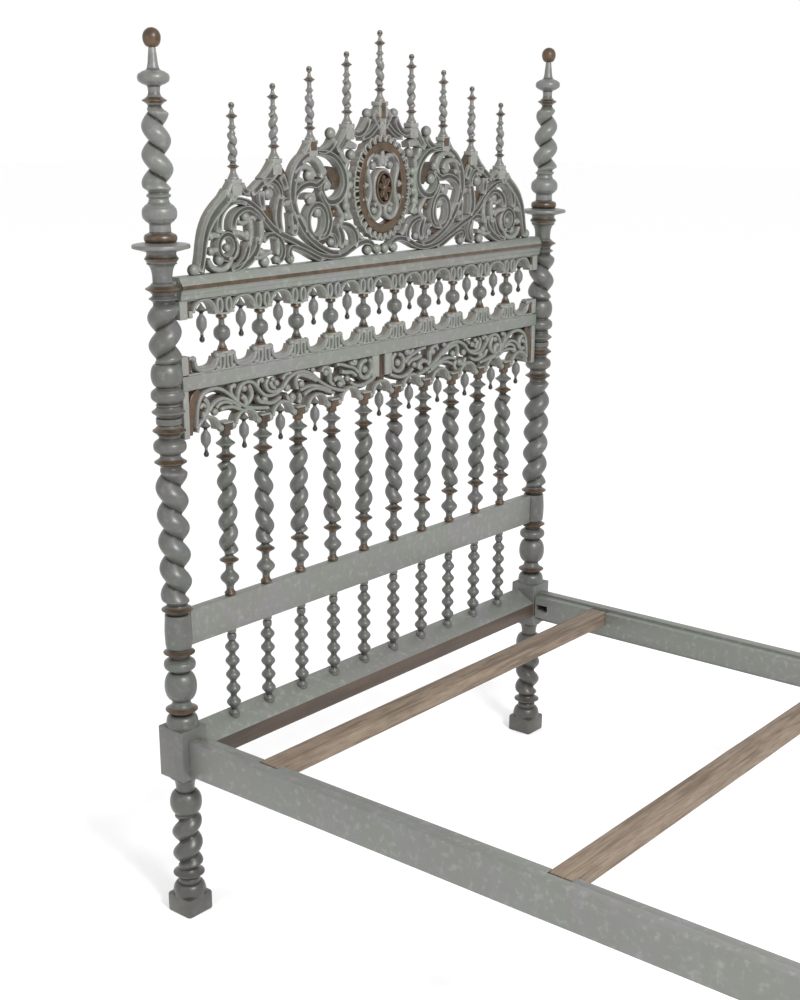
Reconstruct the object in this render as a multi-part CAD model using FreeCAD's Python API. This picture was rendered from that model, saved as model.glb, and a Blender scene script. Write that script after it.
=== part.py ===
import FreeCAD, Part

import math
import os

from FreeCAD import Vector

# A painted spindle bed: a tall turned and carved headboard, two side rails with slats, a low foot end.
# Millimetres. The floor is z = 0, x runs across the bed and y runs from foot to head.

# Posts
POST_SPACING = 1370.0          # between the post axes, across the bed
BED_LENGTH = 1990.0            # between the head and foot post axes
BLOCK_SIDE = 76.0              # square block that takes the rails
BLOCK_EDGE = 3.0               # bevel on the block's upright edges
FOOT_SIDE = 76.0               # square foot
FOOT_HEIGHT = 46.0
FOOT_EDGE = 7.0
BLOCK_BOTTOM = 350.0
BLOCK_TOP = 464.0
RING_RADIUS = 35.0             # the proud rings on the posts
BALL_RADIUS = 36.4             # the plain balls on the posts
NECK_RADIUS = 22.0             # the narrow necks beside the rings
BARREL_RADIUS = 31.0           # plain barrel that takes the middle rail
POST_TWIST_RADIUS = 34.0       # outermost reach of the rope twist
TWIST_DEPTH = 16.0             # how far the twist's hollows lie inside its crests
TWIST_PITCH = 60.0             # height of one turn
POST_TOP = 1503.0

# Wide disc, twisted finial and gilt ball
DISC_RADIUS = 60.0
DISC_HEIGHT = 18.0
FINIAL_HEIGHT = 369.0
FINIAL_RADIUS = 33.0
FINIAL_BALL_RADIUS = 18.0
FOOT_POST_TOP = 625.0
FOOT_BALL_RADIUS = 20.0
FOOT_NECK_HEIGHT = 14.0

# Headboard rails, all between the posts
PANEL_SETBACK = 2.0            # how far the panels and spindles lie behind the post axes
PANEL_THICKNESS = 28.0
CREST_RAIL_DROP = 54.0         # from the posts' tops down to the crest rail's top
CREST_RAIL_HEIGHT = 47.0
CAP_PROJECTION = 10.0          # how far the crest rail's moulding stands forward
VALANCE_HEIGHT = 40.0
CRESTING_HEIGHT = 40.0
GALLERY_DROP = 205.0           # from the crest rail's top down to the gallery rail's
GALLERY_RAIL_HEIGHT = 30.0
FRIEZE_HEIGHT = 103.0
CAPITAL_HALF_WIDTH = 20.0      # of the blocks between the arches
ARCH_CROWN = 0.68              # share of the valance's height that its arches take
FRIEZE_CROWN = 0.3             # the same for the frieze
MID_RAIL_TOP = 731.0
MID_RAIL_HEIGHT = 80.0
MID_RAIL_THICKNESS = 24.0
HEAD_RAIL_BACK_TOP = 450.0     # the head rail's top slopes down to the front
HEAD_RAIL_FRONT_TOP = 416.0
HEAD_RAIL_BOTTOM = 376.0
HEAD_RAIL_REAR = 21.0          # its back face, behind the post axes
TENON_LENGTH = 20.0
TENON_THICKNESS = 10.0
TENON_SHOULDER = 8.0           # from a rail's edge to its tenon
MORTISE_CLEARANCE = 0.3

# Spindles and pendants
SPINDLE_COUNT = 10
BOARD_END = 12.9               # plain end of a pierced board, beside its last arch
SPINDLE_RADIUS = 21.5          # outermost reach of the long spindles' twist
SPINDLE_TWIST_DEPTH = 10.5
SPINDLE_PITCH = 46.0
BOBBIN_RADIUS = 16.8
BOBBIN_COUNT = 5
BALUSTER_RADIUS = 17.7
PENDANT_RADIUS = 11.5
PENDANT_LENGTH = 82.0
LOST_PENDANT = 4               # place of the frieze's empty arch, counted from 0 at the left

# Carved crest. Its outlines are drawn in a unit that follows the bed's width.
CREST_UNIT = POST_SPACING / 1370
CREST_THICKNESS = 24.0
MEDALLION_CENTRE = 152 * CREST_UNIT            # above the crest rail
MEDALLION_HALF_WIDTH = 104.5 * CREST_UNIT      # over the teeth
MEDALLION_HALF_HEIGHT = 120 * CREST_UNIT
MEDALLION_TEETH = 24
TOOTH_DEPTH = 6 * CREST_UNIT
RIM_WIDTH = 20.5 * CREST_UNIT                  # of the toothed rim, to the gilt ring set in it
GILT_RING_WIDTH = 14 * CREST_UNIT
GILT_RING_PROUD = 2.0          # how far the gilt ring stands in front of the carving
INSET_CLEARANCE = 0.3
ROSETTE_HALF_WIDTH = 27 * CREST_UNIT
ROSETTE_HALF_HEIGHT = 36 * CREST_UNIT
ROSETTE_THICKNESS = 15.0
PEDESTAL_HALF_WIDTH = 14.5 * CREST_UNIT
TOP_PEDESTAL_HALF_WIDTH = 17.5 * CREST_UNIT
PEDESTAL_HEIGHT = 28 * CREST_UNIT
SPIRE_HEIGHT = 153.0
SPIRE_RADIUS = 12.6
SPIRE_PITCH = 28.0
MEDALLION_SCROLL_THICKNESS = 14.0

# Side rails, ledgers and slats
SIDE_RAIL_TOP = 441.0
SIDE_RAIL_HEIGHT = 84.0
SIDE_RAIL_THICKNESS = 26.5
SIDE_RAIL_INSET = 19.0         # from the block's outer face to the rail's
LEDGER_TOP = 436.0
LEDGER_HEIGHT = 62.0
LEDGER_THICKNESS = 26.5
LEDGER_END_GAP = 3.0
SLAT_WIDTH = 53.0
SLAT_THICKNESS = 34.0
SLAT_END_GAP = 12.0            # from a slat's end to the side rail
SLAT_NOTCH_CLEARANCE = 1.0
FIRST_SLAT = 249.0             # from the head post axes to the first slat's middle, and so at the foot
SLAT_COUNT = 3
FOOT_RAIL_THICKNESS = 26.5

# Bed bolts, one at each rail end
BOLT_RADIUS = 5.0
BOLT_HEAD_RADIUS = 10.0
BOLT_HEAD_HEIGHT = 6.0
BOLT_HEIGHT = 404.0            # above the floor
BOLT_CLEARANCE = 0.4
BOLT_END = 4.0                 # how far the bolt stands out of its nut
NUT_SIDE = 17.0
NUT_THICKNESS = 8.0
POCKET_START = 6.0             # wood left between the pocket and the rail's end
POCKET_LENGTH = 38.0
POCKET_HEIGHT = 18.0
POCKET_DEPTH = 22.5            # into the rail, past the ledger

# Facets
POST_SIDES = 8
SPINDLE_SIDES = 5
SMALL_SIDES = 5
PENDANT_SIDES = 4
FINIAL_SIDES = 6
BOLT_SIDES = 6
DISC_SIDES = 12
CARVED_BALL_SIDES = 6
HUB_SIDES = 12
OVAL_SIDES = 16
ARCH_FACETS = 5                # odd, so that an arch's crown is level
ARCH_FACET = 180.0 / ARCH_FACETS
TWIST_STEPS = 3                # sections in one turn of a twist

POST_X = POST_SPACING / 2
HEAD_Y = BED_LENGTH / 2
BLOCK_HALF = BLOCK_SIDE / 2
PANEL_Y = HEAD_Y + PANEL_SETBACK
PANEL_HALF = PANEL_THICKNESS / 2
PANEL_FRONT = PANEL_Y - PANEL_HALF
CREST_RAIL_TOP = POST_TOP - CREST_RAIL_DROP
GALLERY_RAIL_TOP = CREST_RAIL_TOP - GALLERY_DROP
GALLERY_RAIL_BOTTOM = GALLERY_RAIL_TOP - GALLERY_RAIL_HEIGHT
FRIEZE_BOTTOM = GALLERY_RAIL_BOTTOM - FRIEZE_HEIGHT
CREST_RAIL_BOTTOM = CREST_RAIL_TOP - CREST_RAIL_HEIGHT
VALANCE_BOTTOM = CREST_RAIL_BOTTOM - VALANCE_HEIGHT
CRESTING_TOP = GALLERY_RAIL_TOP + CRESTING_HEIGHT
MID_RAIL_BOTTOM = MID_RAIL_TOP - MID_RAIL_HEIGHT
RAIL_OUTER_X = POST_X + BLOCK_HALF - SIDE_RAIL_INSET
RAIL_INNER_X = RAIL_OUTER_X - SIDE_RAIL_THICKNESS
LEDGER_INNER_X = RAIL_INNER_X - LEDGER_THICKNESS
BOLT_X = RAIL_OUTER_X - SIDE_RAIL_THICKNESS / 2
RAIL_END_Y = HEAD_Y - BLOCK_HALF
SLAT_SPACING = (BED_LENGTH - 2 * FIRST_SLAT) / (SLAT_COUNT - 1)


# ---------------------------------------------------------------- turned work

def equal_area(radius, sides):
    """Corner radius of the polygon with the area of a circle."""
    return radius * math.sqrt(2 * math.pi / (sides * math.sin(2 * math.pi / sides)))


def flat(radius, sides=POST_SIDES):
    """Distance from the axis to a facet of a turned piece."""
    return equal_area(radius, sides) * math.cos(math.pi / sides)


def round_section(x, y, z, radius, sides):
    """Level polygon that stands for a circle, with one facet facing +x."""
    reach = equal_area(radius, sides)
    corners = []
    for k in range(sides):
        angle = (k + 0.5) * 2 * math.pi / sides
        corners.append(Vector(x + reach * math.cos(angle), y + reach * math.sin(angle), z))
    return corners


def square_section(x, y, z, half, bevel):
    """Level square with bevelled corners, its eight points in the order of an octagon's."""
    near = half - bevel
    pattern = [(half, near), (near, half), (-near, half), (-half, near),
               (-half, -near), (-near, -half), (near, -half), (half, -near)]
    return [Vector(x + dx, y + dy, z) for dx, dy in pattern]


def polygon_face(points):
    return Part.Face(Part.makePolygon(points + points[:1]))


def loft(sections):
    """Solid through a stack of polygons with parallel sides, so that every facet is flat."""
    faces = [polygon_face(sections[0]), polygon_face(sections[-1])]
    for low, high in zip(sections, sections[1:]):
        for k in range(len(low)):
            after = (k + 1) % len(low)
            faces.append(polygon_face([low[k], low[after], high[after], high[k]]))
    return Part.makeSolid(Part.makeShell(faces))


def stations(profile, bottom, top, size=1.0):
    """Turn (share of the height, radius) pairs into (z, radius, x offset, y offset)."""
    return [(bottom + share * (top - bottom), radius * size, 0.0, 0.0) for share, radius in profile]


def twist(bottom, top, crest, depth, pitch, hand, taper=1.0):
    """Rope twist: a round bar whose centre winds round the axis. hand is 1 or -1."""
    turns = max(1, round((top - bottom) / pitch))
    steps = turns * TWIST_STEPS
    rows = []
    for k in range(steps + 1):
        share = k / steps
        reach = crest * (1 + (taper - 1) * share)
        swing = depth / 2 if 0 < k < steps else 0.0
        angle = hand * 2 * math.pi * k / TWIST_STEPS
        z = bottom + share * (top - bottom)
        rows.append((z, reach - depth / 2, swing * math.cos(angle), swing * math.sin(angle)))
    return rows


def turned(x, y, rows, sides):
    """Solid of one turned piece from its rows of (z, radius, x offset, y offset)."""
    return loft([round_section(x + dx, y + dy, z, radius, sides) for z, radius, dx, dy in rows])


# ---------------------------------------------------------------- posts

def leg_sections(x, y, hand):
    """Sections from the floor to the top of the rail block."""
    foot = FOOT_SIDE / 2
    bell_top = FOOT_HEIGHT + 0.1 * (BLOCK_BOTTOM - FOOT_HEIGHT)
    twist_bottom = FOOT_HEIGHT + 0.24 * (BLOCK_BOTTOM - FOOT_HEIGHT)
    twist_top = FOOT_HEIGHT + 0.66 * (BLOCK_BOTTOM - FOOT_HEIGHT)
    tongue = FOOT_HEIGHT + 0.87 * (BLOCK_BOTTOM - FOOT_HEIGHT)
    bell = [(0.0, 1.0), (0.6, 0.86)]
    ring = [(0.10, 0.64), (0.48, 1.0), (0.9, 0.64)]
    ball = [(0.0, 0.6), (0.3, 1.0), (0.66, 1.0), (1.0, 0.6)]
    rows = stations(bell, FOOT_HEIGHT, bell_top, foot)
    rows += stations(ring, bell_top, twist_bottom, RING_RADIUS)
    rows += twist(twist_bottom, twist_top, POST_TWIST_RADIUS, TWIST_DEPTH, TWIST_PITCH, -hand)
    rows += stations(ball, twist_top + 2, tongue, BALL_RADIUS)
    sections = [square_section(x, y, 0, foot - 2, FOOT_EDGE),
                square_section(x, y, 5, foot, FOOT_EDGE),
                square_section(x, y, FOOT_HEIGHT - 8, foot, FOOT_EDGE)]
    sections += [round_section(x + dx, y + dy, z, radius, POST_SIDES) for z, radius, dx, dy in rows]
    for share, reach in ((0.35, 0.74), (0.8, 0.93)):
        z = tongue + share * (BLOCK_BOTTOM - tongue)
        sections.append(square_section(x, y, z, reach * BLOCK_HALF, 0.3 * BLOCK_HALF))
    sections.append(square_section(x, y, BLOCK_BOTTOM, BLOCK_HALF, BLOCK_EDGE))
    sections.append(square_section(x, y, BLOCK_TOP, BLOCK_HALF, BLOCK_EDGE))
    return sections


DOME = [(0.0, 1.0), (0.6, 0.95)]
PROUD_RING = [(0.0, 0.62), (0.5, 1.0)]
RING_AND_NECK = [(0.0, 0.62), (0.3, 1.0), (0.65, 1.0)]


def lower_turning(bottom, top):
    """Dome, ring, ball, ring and ring between a rail block and what stands over it."""
    def at(share):
        return bottom + share * (top - bottom)
    rows = stations(DOME, at(0.02), at(0.12), RING_RADIUS)
    rows += stations(PROUD_RING, at(0.15), at(0.28), RING_RADIUS)
    ball = [(0.0, 0.6), (0.3, 1.0), (0.68, 1.0), (1.0, 0.6)]
    rows += stations(ball, at(0.32), at(0.68), BALL_RADIUS)
    rows += stations(PROUD_RING, at(0.71), at(0.86), RING_RADIUS)
    return rows


def head_post_rows(hand):
    """Rows of the head post over its rail block."""
    rows = lower_turning(BLOCK_TOP, MID_RAIL_BOTTOM)
    under_rail = MID_RAIL_BOTTOM - 0.1 * (MID_RAIL_BOTTOM - BLOCK_TOP)
    rows += stations([(0.0, 1.0), (0.6, 1.0)], under_rail, MID_RAIL_BOTTOM, RING_RADIUS)
    rows += stations([(0.0, 1.0), (1.0, 1.0)], MID_RAIL_BOTTOM, MID_RAIL_TOP, BARREL_RADIUS)
    long_bottom = MID_RAIL_TOP + 24
    long_top = FRIEZE_BOTTOM - 56
    rows += stations(RING_AND_NECK[1:], MID_RAIL_TOP, long_bottom, RING_RADIUS)
    rows += twist(long_bottom, long_top, POST_TWIST_RADIUS, TWIST_DEPTH, TWIST_PITCH, hand)
    ring_space = (GALLERY_RAIL_TOP - long_top) / 5
    for k in range(5):
        base = long_top + k * ring_space + 2
        rows += stations(RING_AND_NECK, base, base + ring_space - 2, RING_RADIUS)
    gallery_bottom = GALLERY_RAIL_TOP + 4
    rows += twist(gallery_bottom, CREST_RAIL_BOTTOM, POST_TWIST_RADIUS, TWIST_DEPTH, TWIST_PITCH, -hand)
    vase = [(0.14, 0.76), (0.2, 1.0), (0.34, 1.0), (0.43, 0.62), (0.55, 0.62), (0.75, 0.86), (0.85, 1.0),
            (1.0, 0.86)]
    rows += stations(vase, CREST_RAIL_BOTTOM, POST_TOP, RING_RADIUS)
    return rows


def post(x, y, rows, hand):
    """One post, from its foot block to the seat of its disc."""
    sections = leg_sections(x, y, hand)
    sections += [round_section(x + dx, y + dy, z, radius, POST_SIDES) for z, radius, dx, dy in rows]
    return loft(sections)


def tenon_box(side, y, bottom, top, shoulder, clearance):
    """Tenon of a cross rail, or with a clearance the mortise for it. side is -1 or 1."""
    length = TENON_LENGTH + clearance
    x = side * shoulder if side > 0 else -shoulder - length
    thickness = TENON_THICKNESS + 2 * clearance
    height = top - bottom - 2 * TENON_SHOULDER + 2 * clearance
    corner = Vector(x, y - thickness / 2, bottom + TENON_SHOULDER - clearance)
    return Part.makeBox(length, thickness, height, corner)


BARREL_SHOULDER = POST_X - flat(BARREL_RADIUS)
RING_SHOULDER = POST_X - flat(RING_RADIUS)
BLOCK_SHOULDER = POST_X - BLOCK_HALF
SPINDLE_SPACING = 2 * (RING_SHOULDER - BOARD_END) / (SPINDLE_COUNT + 1)
HEAD_RAIL_TENON_Y = HEAD_Y - BLOCK_HALF / 2

# bottom, top, shoulder and y of each rail with tenons
HEAD_TENONS = {
    "crest_rail": (CREST_RAIL_BOTTOM, CREST_RAIL_TOP, RING_SHOULDER, PANEL_Y),
    "gallery_rail": (GALLERY_RAIL_BOTTOM, GALLERY_RAIL_TOP, RING_SHOULDER, PANEL_Y),
    "mid_rail": (MID_RAIL_BOTTOM, MID_RAIL_TOP, BARREL_SHOULDER, PANEL_Y),
    "head_rail": (HEAD_RAIL_BOTTOM, HEAD_RAIL_FRONT_TOP, BLOCK_SHOULDER, HEAD_RAIL_TENON_Y),
}
FOOT_TENON = (SIDE_RAIL_TOP - SIDE_RAIL_HEIGHT, SIDE_RAIL_TOP, BLOCK_SHOULDER, -HEAD_Y)


def bolt_place(side, end):
    """Axis point of a bolt at the block's face that meets the side rail."""
    return Vector(side * BOLT_X, end * RAIL_END_Y, BOLT_HEIGHT)


def bar(start, end, radius, sides=BOLT_SIDES):
    """Straight polygonal bar along y."""
    sections = []
    for y in (start.y, end.y):
        reach = equal_area(radius, sides)
        points = []
        for k in range(sides):
            angle = (k + 0.5) * 2 * math.pi / sides
            points.append(Vector(start.x + reach * math.cos(angle), y, start.z + reach * math.sin(angle)))
        sections.append(points)
    return loft(sections)


def bolt_hole(side, end):
    """Bolt hole right through the block and into the rail as far as its pocket."""
    place = bolt_place(side, end)
    start = place + Vector(0, end * (BLOCK_SIDE + 1), 0)
    stop = place - Vector(0, end * (POCKET_START + POCKET_LENGTH / 2), 0)
    return bar(start, stop, BOLT_RADIUS + BOLT_CLEARANCE)


def head_recess(side, end):
    """Seat for the bolt's head in the block's outer face."""
    place = bolt_place(side, end) + Vector(0, end * BLOCK_SIDE, 0)
    start = place - Vector(0, end * BOLT_HEAD_HEIGHT, 0)
    return bar(start, place + Vector(0, end, 0), BOLT_HEAD_RADIUS + BOLT_CLEARANCE)


def head_post(side):
    blank = post(side * POST_X, HEAD_Y, head_post_rows(side), side)
    for bottom, top, shoulder, y in HEAD_TENONS.values():
        blank = blank.cut(tenon_box(side, y, bottom, top, shoulder, MORTISE_CLEARANCE))
    return blank.cut(bolt_hole(side, 1)).cut(head_recess(side, 1))


def foot_post(side):
    rows = lower_turning(BLOCK_TOP, FOOT_POST_TOP + 12)
    rows = [row for row in rows if row[0] < FOOT_POST_TOP - 4]
    rows += [(FOOT_POST_TOP, 0.86 * RING_RADIUS, 0.0, 0.0)]
    blank = post(side * POST_X, -HEAD_Y, rows, side)
    blank = blank.cut(tenon_box(side, FOOT_TENON[3], *FOOT_TENON[:3], MORTISE_CLEARANCE))
    return blank.cut(bolt_hole(side, -1)).cut(head_recess(side, -1))


def disc(x, y, bottom):
    """Wide thin disc with a sharp edge."""
    profile = [(0.0, 0.56), (0.44, 1.0), (0.62, 1.0), (1.0, 0.56)]
    return turned(x, y, stations(profile, bottom, bottom + DISC_HEIGHT, DISC_RADIUS), DISC_SIDES)


def finial(x, y, bottom, hand):
    """Twisted finial from the disc to the seat of its ball."""
    top = bottom + FINIAL_HEIGHT
    foot = [(0.0, 0.9), (0.02, 1.03), (0.05, 1.03), (0.07, 0.68), (0.155, 1.07), (0.2, 0.75)]
    head = [(0.70, 0.45), (0.725, 0.74), (0.745, 0.74), (0.77, 0.42), (0.82, 0.9), (0.87, 0.93),
            (0.91, 0.38), (1.0, 0.22)]
    rows = stations(foot, bottom, top, FINIAL_RADIUS)
    low = bottom + 0.23 * FINIAL_HEIGHT
    high = bottom + 0.69 * FINIAL_HEIGHT
    rows += twist(low, high, FINIAL_RADIUS, TWIST_DEPTH, TWIST_PITCH, hand, 0.8)
    rows += stations(head, bottom, top, FINIAL_RADIUS)
    return turned(x, y, rows, FINIAL_SIDES)


def ball_rows(bottom, radius):
    """Rows of a ball that stands on a flat of its own."""
    share = [(0.0, 0.4), (0.22, 0.83), (0.5, 1.0), (0.78, 0.83), (1.0, 0.3)]
    return stations(share, bottom, bottom + 2 * radius, radius)


def foot_ball(x, y, bottom):
    """Low neck and ball on a foot post's disc."""
    neck = [(0.0, 1.2), (0.4, 1.1), (0.7, 0.5)]
    rows = stations(neck, bottom, bottom + FOOT_NECK_HEIGHT, FOOT_BALL_RADIUS)
    rows += ball_rows(bottom + FOOT_NECK_HEIGHT, FOOT_BALL_RADIUS)
    return turned(x, y, rows, FINIAL_SIDES)


# ---------------------------------------------------------------- rails

def prism_x(outline, low, high):
    """Solid of an outline of (y, z) points drawn out along x."""
    points = [Vector(low, y, z) for y, z in outline]
    return polygon_face(points).extrude(Vector(high - low, 0, 0))


def plate(outline, y, thickness):
    """Solid of a face in the x-z plane, centred on y."""
    return outline.translated(Vector(0, y - thickness / 2, 0)).extrude(Vector(0, thickness, 0))


def with_tenons(rail, bottom, top, shoulder, y):
    for side in (-1, 1):
        rail = rail.fuse(tenon_box(side, y, bottom, top, shoulder, 0.0))
    return rail.removeSplitter()


def cross_rail(name, thickness):
    """Plain rail between the head posts, with its tenons."""
    bottom, top, shoulder, y = HEAD_TENONS[name]
    board = Part.makeBox(2 * shoulder, thickness, top - bottom, Vector(-shoulder, y - thickness / 2, bottom))
    return with_tenons(board, bottom, top, shoulder, y)


def crest_cap():
    """Moulding along the front of the crest rail: bed mould, cove, gilt nose and sloping top."""
    depth = CAP_PROJECTION
    height = CREST_RAIL_HEIGHT
    steps = [(0.0, 0.0), (0.35, 0.0), (0.35, 0.18), (0.6, 0.26), (0.6, 0.36), (1.0, 0.46),
             (1.0, 0.62), (0.0, 1.0)]
    outline = [(PANEL_FRONT - out * depth, CREST_RAIL_BOTTOM + up * height) for out, up in steps]
    return prism_x(outline, -RING_SHOULDER, RING_SHOULDER)


def slope_height(y):
    """Height of the head rail's sloping top at y."""
    share = (y - (HEAD_Y - BLOCK_HALF)) / (HEAD_RAIL_REAR + BLOCK_HALF)
    return HEAD_RAIL_FRONT_TOP + share * (HEAD_RAIL_BACK_TOP - HEAD_RAIL_FRONT_TOP)


def head_rail():
    """Bottom rail of the headboard, flush with the blocks in front, its top sloping."""
    front = HEAD_Y - BLOCK_HALF
    rear = HEAD_Y + HEAD_RAIL_REAR
    outline = [(front, HEAD_RAIL_BOTTOM), (rear, HEAD_RAIL_BOTTOM),
               (rear, HEAD_RAIL_BACK_TOP), (front, HEAD_RAIL_FRONT_TOP)]
    board = prism_x(outline, -BLOCK_SHOULDER, BLOCK_SHOULDER)
    return with_tenons(board, *HEAD_TENONS["head_rail"])


def foot_rail():
    bottom, top, shoulder, y = FOOT_TENON
    corner = Vector(-shoulder, y - FOOT_RAIL_THICKNESS / 2, bottom)
    board = Part.makeBox(2 * shoulder, FOOT_RAIL_THICKNESS, top - bottom, corner)
    return with_tenons(board, bottom, top, shoulder, y)


def pocket(side, end):
    """Nut pocket, cut from inside the bed through the ledger's end into the rail."""
    depth = LEDGER_THICKNESS + POCKET_DEPTH
    low_x = LEDGER_INNER_X if side > 0 else -LEDGER_INNER_X - depth
    near = RAIL_END_Y - POCKET_START
    low_y = near - POCKET_LENGTH if end > 0 else -near
    corner = Vector(low_x, low_y, BOLT_HEIGHT - POCKET_HEIGHT / 2)
    return Part.makeBox(depth, POCKET_LENGTH, POCKET_HEIGHT, corner)


def side_rail(side):
    x = RAIL_INNER_X if side > 0 else -RAIL_OUTER_X
    corner = Vector(x, -RAIL_END_Y, SIDE_RAIL_TOP - SIDE_RAIL_HEIGHT)
    board = Part.makeBox(SIDE_RAIL_THICKNESS, 2 * RAIL_END_Y, SIDE_RAIL_HEIGHT, corner)
    for end in (-1, 1):
        board = board.cut(bolt_hole(side, end)).cut(pocket(side, end))
    return board


def slat_y(index):
    """Middle of a slat, counted from the head."""
    return HEAD_Y - FIRST_SLAT - index * SLAT_SPACING


def ledger(side):
    x = LEDGER_INNER_X if side > 0 else -RAIL_INNER_X
    length = 2 * (RAIL_END_Y - LEDGER_END_GAP)
    corner = Vector(x, -length / 2, LEDGER_TOP - LEDGER_HEIGHT)
    strip = Part.makeBox(LEDGER_THICKNESS, length, LEDGER_HEIGHT, corner)
    for end in (-1, 1):
        strip = strip.cut(pocket(side, end))
    for index in range(SLAT_COUNT):
        width = SLAT_WIDTH + 2 * SLAT_NOTCH_CLEARANCE
        notch = Vector(x, slat_y(index) - width / 2, LEDGER_TOP - SLAT_THICKNESS)
        strip = strip.cut(Part.makeBox(LEDGER_THICKNESS, width, SLAT_THICKNESS, notch))
    return strip


def slat(index):
    half = RAIL_INNER_X - SLAT_END_GAP
    corner = Vector(-half, slat_y(index) - SLAT_WIDTH / 2, LEDGER_TOP - SLAT_THICKNESS)
    return Part.makeBox(2 * half, SLAT_WIDTH, SLAT_THICKNESS, corner)


def bed_bolt(side, end):
    """Bolt with a round head in the block's recess, through its nut."""
    place = bolt_place(side, end)
    seat = place + Vector(0, end * (BLOCK_SIDE - BOLT_HEAD_HEIGHT), 0)
    tip = place - Vector(0, end * (POCKET_START + NUT_THICKNESS + BOLT_END), 0)
    outer = seat + Vector(0, end * BOLT_HEAD_HEIGHT, 0)
    return bar(tip, seat, BOLT_RADIUS).fuse(bar(seat, outer, BOLT_HEAD_RADIUS)).removeSplitter()


def bolt_nut(side, end):
    """Square nut against the pocket's wall, with its hole."""
    place = bolt_place(side, end)
    near = place.y - end * POCKET_START
    low_y = near - NUT_THICKNESS if end > 0 else near
    corner = Vector(place.x - NUT_SIDE / 2, low_y, place.z - NUT_SIDE / 2)
    nut = Part.makeBox(NUT_SIDE, NUT_THICKNESS, NUT_SIDE, corner)
    start = Vector(place.x, low_y - 1, place.z)
    stop = Vector(place.x, low_y + NUT_THICKNESS + 1, place.z)
    return nut.cut(bar(start, stop, BOLT_RADIUS + BOLT_CLEARANCE))


# ---------------------------------------------------------------- spindles and pendants

def spindle_xs(count):
    """Places of a row, centred across the bed."""
    return [(k - (count - 1) / 2) * SPINDLE_SPACING for k in range(count)]


def long_spindle(index):
    """Long spindle: foot bead, ball, ring, rope twist, two rings and a collar."""
    bottom, top = MID_RAIL_TOP, FRIEZE_BOTTOM
    hand = 1 if index % 2 == 0 else -1
    foot = [(0.0, 0.6), (0.04, 0.42), (0.105, 1.0), (0.185, 0.42), (0.222, 1.06)]
    head = [(0.8, 0.42), (0.838, 1.06), (0.876, 0.42), (0.915, 1.06), (0.955, 0.42), (1.0, 0.6)]
    rows = stations(foot, bottom, top, SPINDLE_RADIUS)
    low = bottom + 0.27 * (top - bottom)
    high = bottom + 0.78 * (top - bottom)
    rows += twist(low, high, SPINDLE_RADIUS, SPINDLE_TWIST_DEPTH, SPINDLE_PITCH, hand)
    rows += stations(head, bottom, top, SPINDLE_RADIUS)
    return turned(spindle_xs(SPINDLE_COUNT)[index], PANEL_Y, rows, SPINDLE_SIDES)


def bobbin_spindle(x):
    """Row of beads under the middle rail; its foot is scribed to the sloping rail."""
    bottom = slope_height(PANEL_Y) + 0.6 * BOBBIN_RADIUS
    top = MID_RAIL_BOTTOM
    foot_radius = 0.78 * BOBBIN_RADIUS
    rim = round_section(x, PANEL_Y, bottom, foot_radius, SMALL_SIDES)
    foot = [Vector(point.x, point.y, slope_height(point.y)) for point in rim]
    rows = []
    bead = (top - bottom) * 0.92 / BOBBIN_COUNT
    for k in range(BOBBIN_COUNT):
        base = bottom + 3 + k * bead
        rows += [(base, 0.5 * BOBBIN_RADIUS, 0, 0), (base + bead / 2, 1.04 * BOBBIN_RADIUS, 0, 0)]
    neck = bottom + 3 + BOBBIN_COUNT * bead
    rows += [(neck, 0.5 * BOBBIN_RADIUS, 0, 0), (top, 0.7 * BOBBIN_RADIUS, 0, 0)]
    upper = [round_section(x, PANEL_Y, z, radius, SMALL_SIDES) for z, radius, dx, dy in rows]
    return loft([foot, rim] + upper)


def gallery_baluster(x):
    profile = [(0.0, 0.68), (0.2, 0.4), (0.48, 1.03), (0.76, 0.38), (1.0, 0.66)]
    return turned(x, PANEL_Y, stations(profile, CRESTING_TOP, VALANCE_BOTTOM, BALUSTER_RADIUS), SMALL_SIDES)


def pendant(x, top):
    """Drop with a peaked cap, a bulb, a thin neck and a small ball."""
    profile = [(0.0, 0.45), (0.18, 0.3), (0.5, 1.05), (0.8, 0.45), (1.0, 0.5)]
    rows = stations(profile, top - PENDANT_LENGTH, top, PENDANT_RADIUS)
    return turned(x, PANEL_Y, rows, PENDANT_SIDES)


# ---------------------------------------------------------------- pierced boards

def face_of(points):
    """Face in the x-z plane from (x, z) points."""
    return polygon_face([Vector(x, 0, z) for x, z in points])


def arc_points(x, z, half_width, height, start, stop, count):
    """Points on an ellipse from start to stop, in degrees."""
    points = []
    for k in range(count + 1):
        angle = math.radians(start + (stop - start) * k / count)
        points.append((x + half_width * math.cos(angle), z + height * math.sin(angle)))
    return points


def arcade(bottom, top, crown, upright):
    """Board between the posts and its arch cuts. upright is 1, or -1 for cups that open upwards."""
    shoulder = RING_SHOULDER
    board = face_of([(-shoulder, bottom), (shoulder, bottom), (shoulder, top), (-shoulder, top)])
    edge = bottom if upright > 0 else top
    arch_half = SPINDLE_SPACING / 2 - CAPITAL_HALF_WIDTH
    straight = 0.28 * crown
    rise = (crown - straight) / math.sin(math.radians(ARCH_FACET * (ARCH_FACETS // 2)))
    cuts = []
    for x in spindle_xs(SPINDLE_COUNT + 1):
        arch = arc_points(x, edge + upright * straight, arch_half, upright * rise, 0, 180, ARCH_FACETS)
        cuts.append(face_of([(x + arch_half, edge)] + arch + [(x - arch_half, edge)]))
    return board, cuts


def pierce(board, cuts):
    """Take the holes out of a board's face."""
    return board.cut(cuts)


def gallery_valance():
    board, cuts = arcade(VALANCE_BOTTOM, CREST_RAIL_BOTTOM, ARCH_CROWN * VALANCE_HEIGHT, 1)
    return plate(pierce(board, cuts), PANEL_Y, PANEL_THICKNESS)


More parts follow.
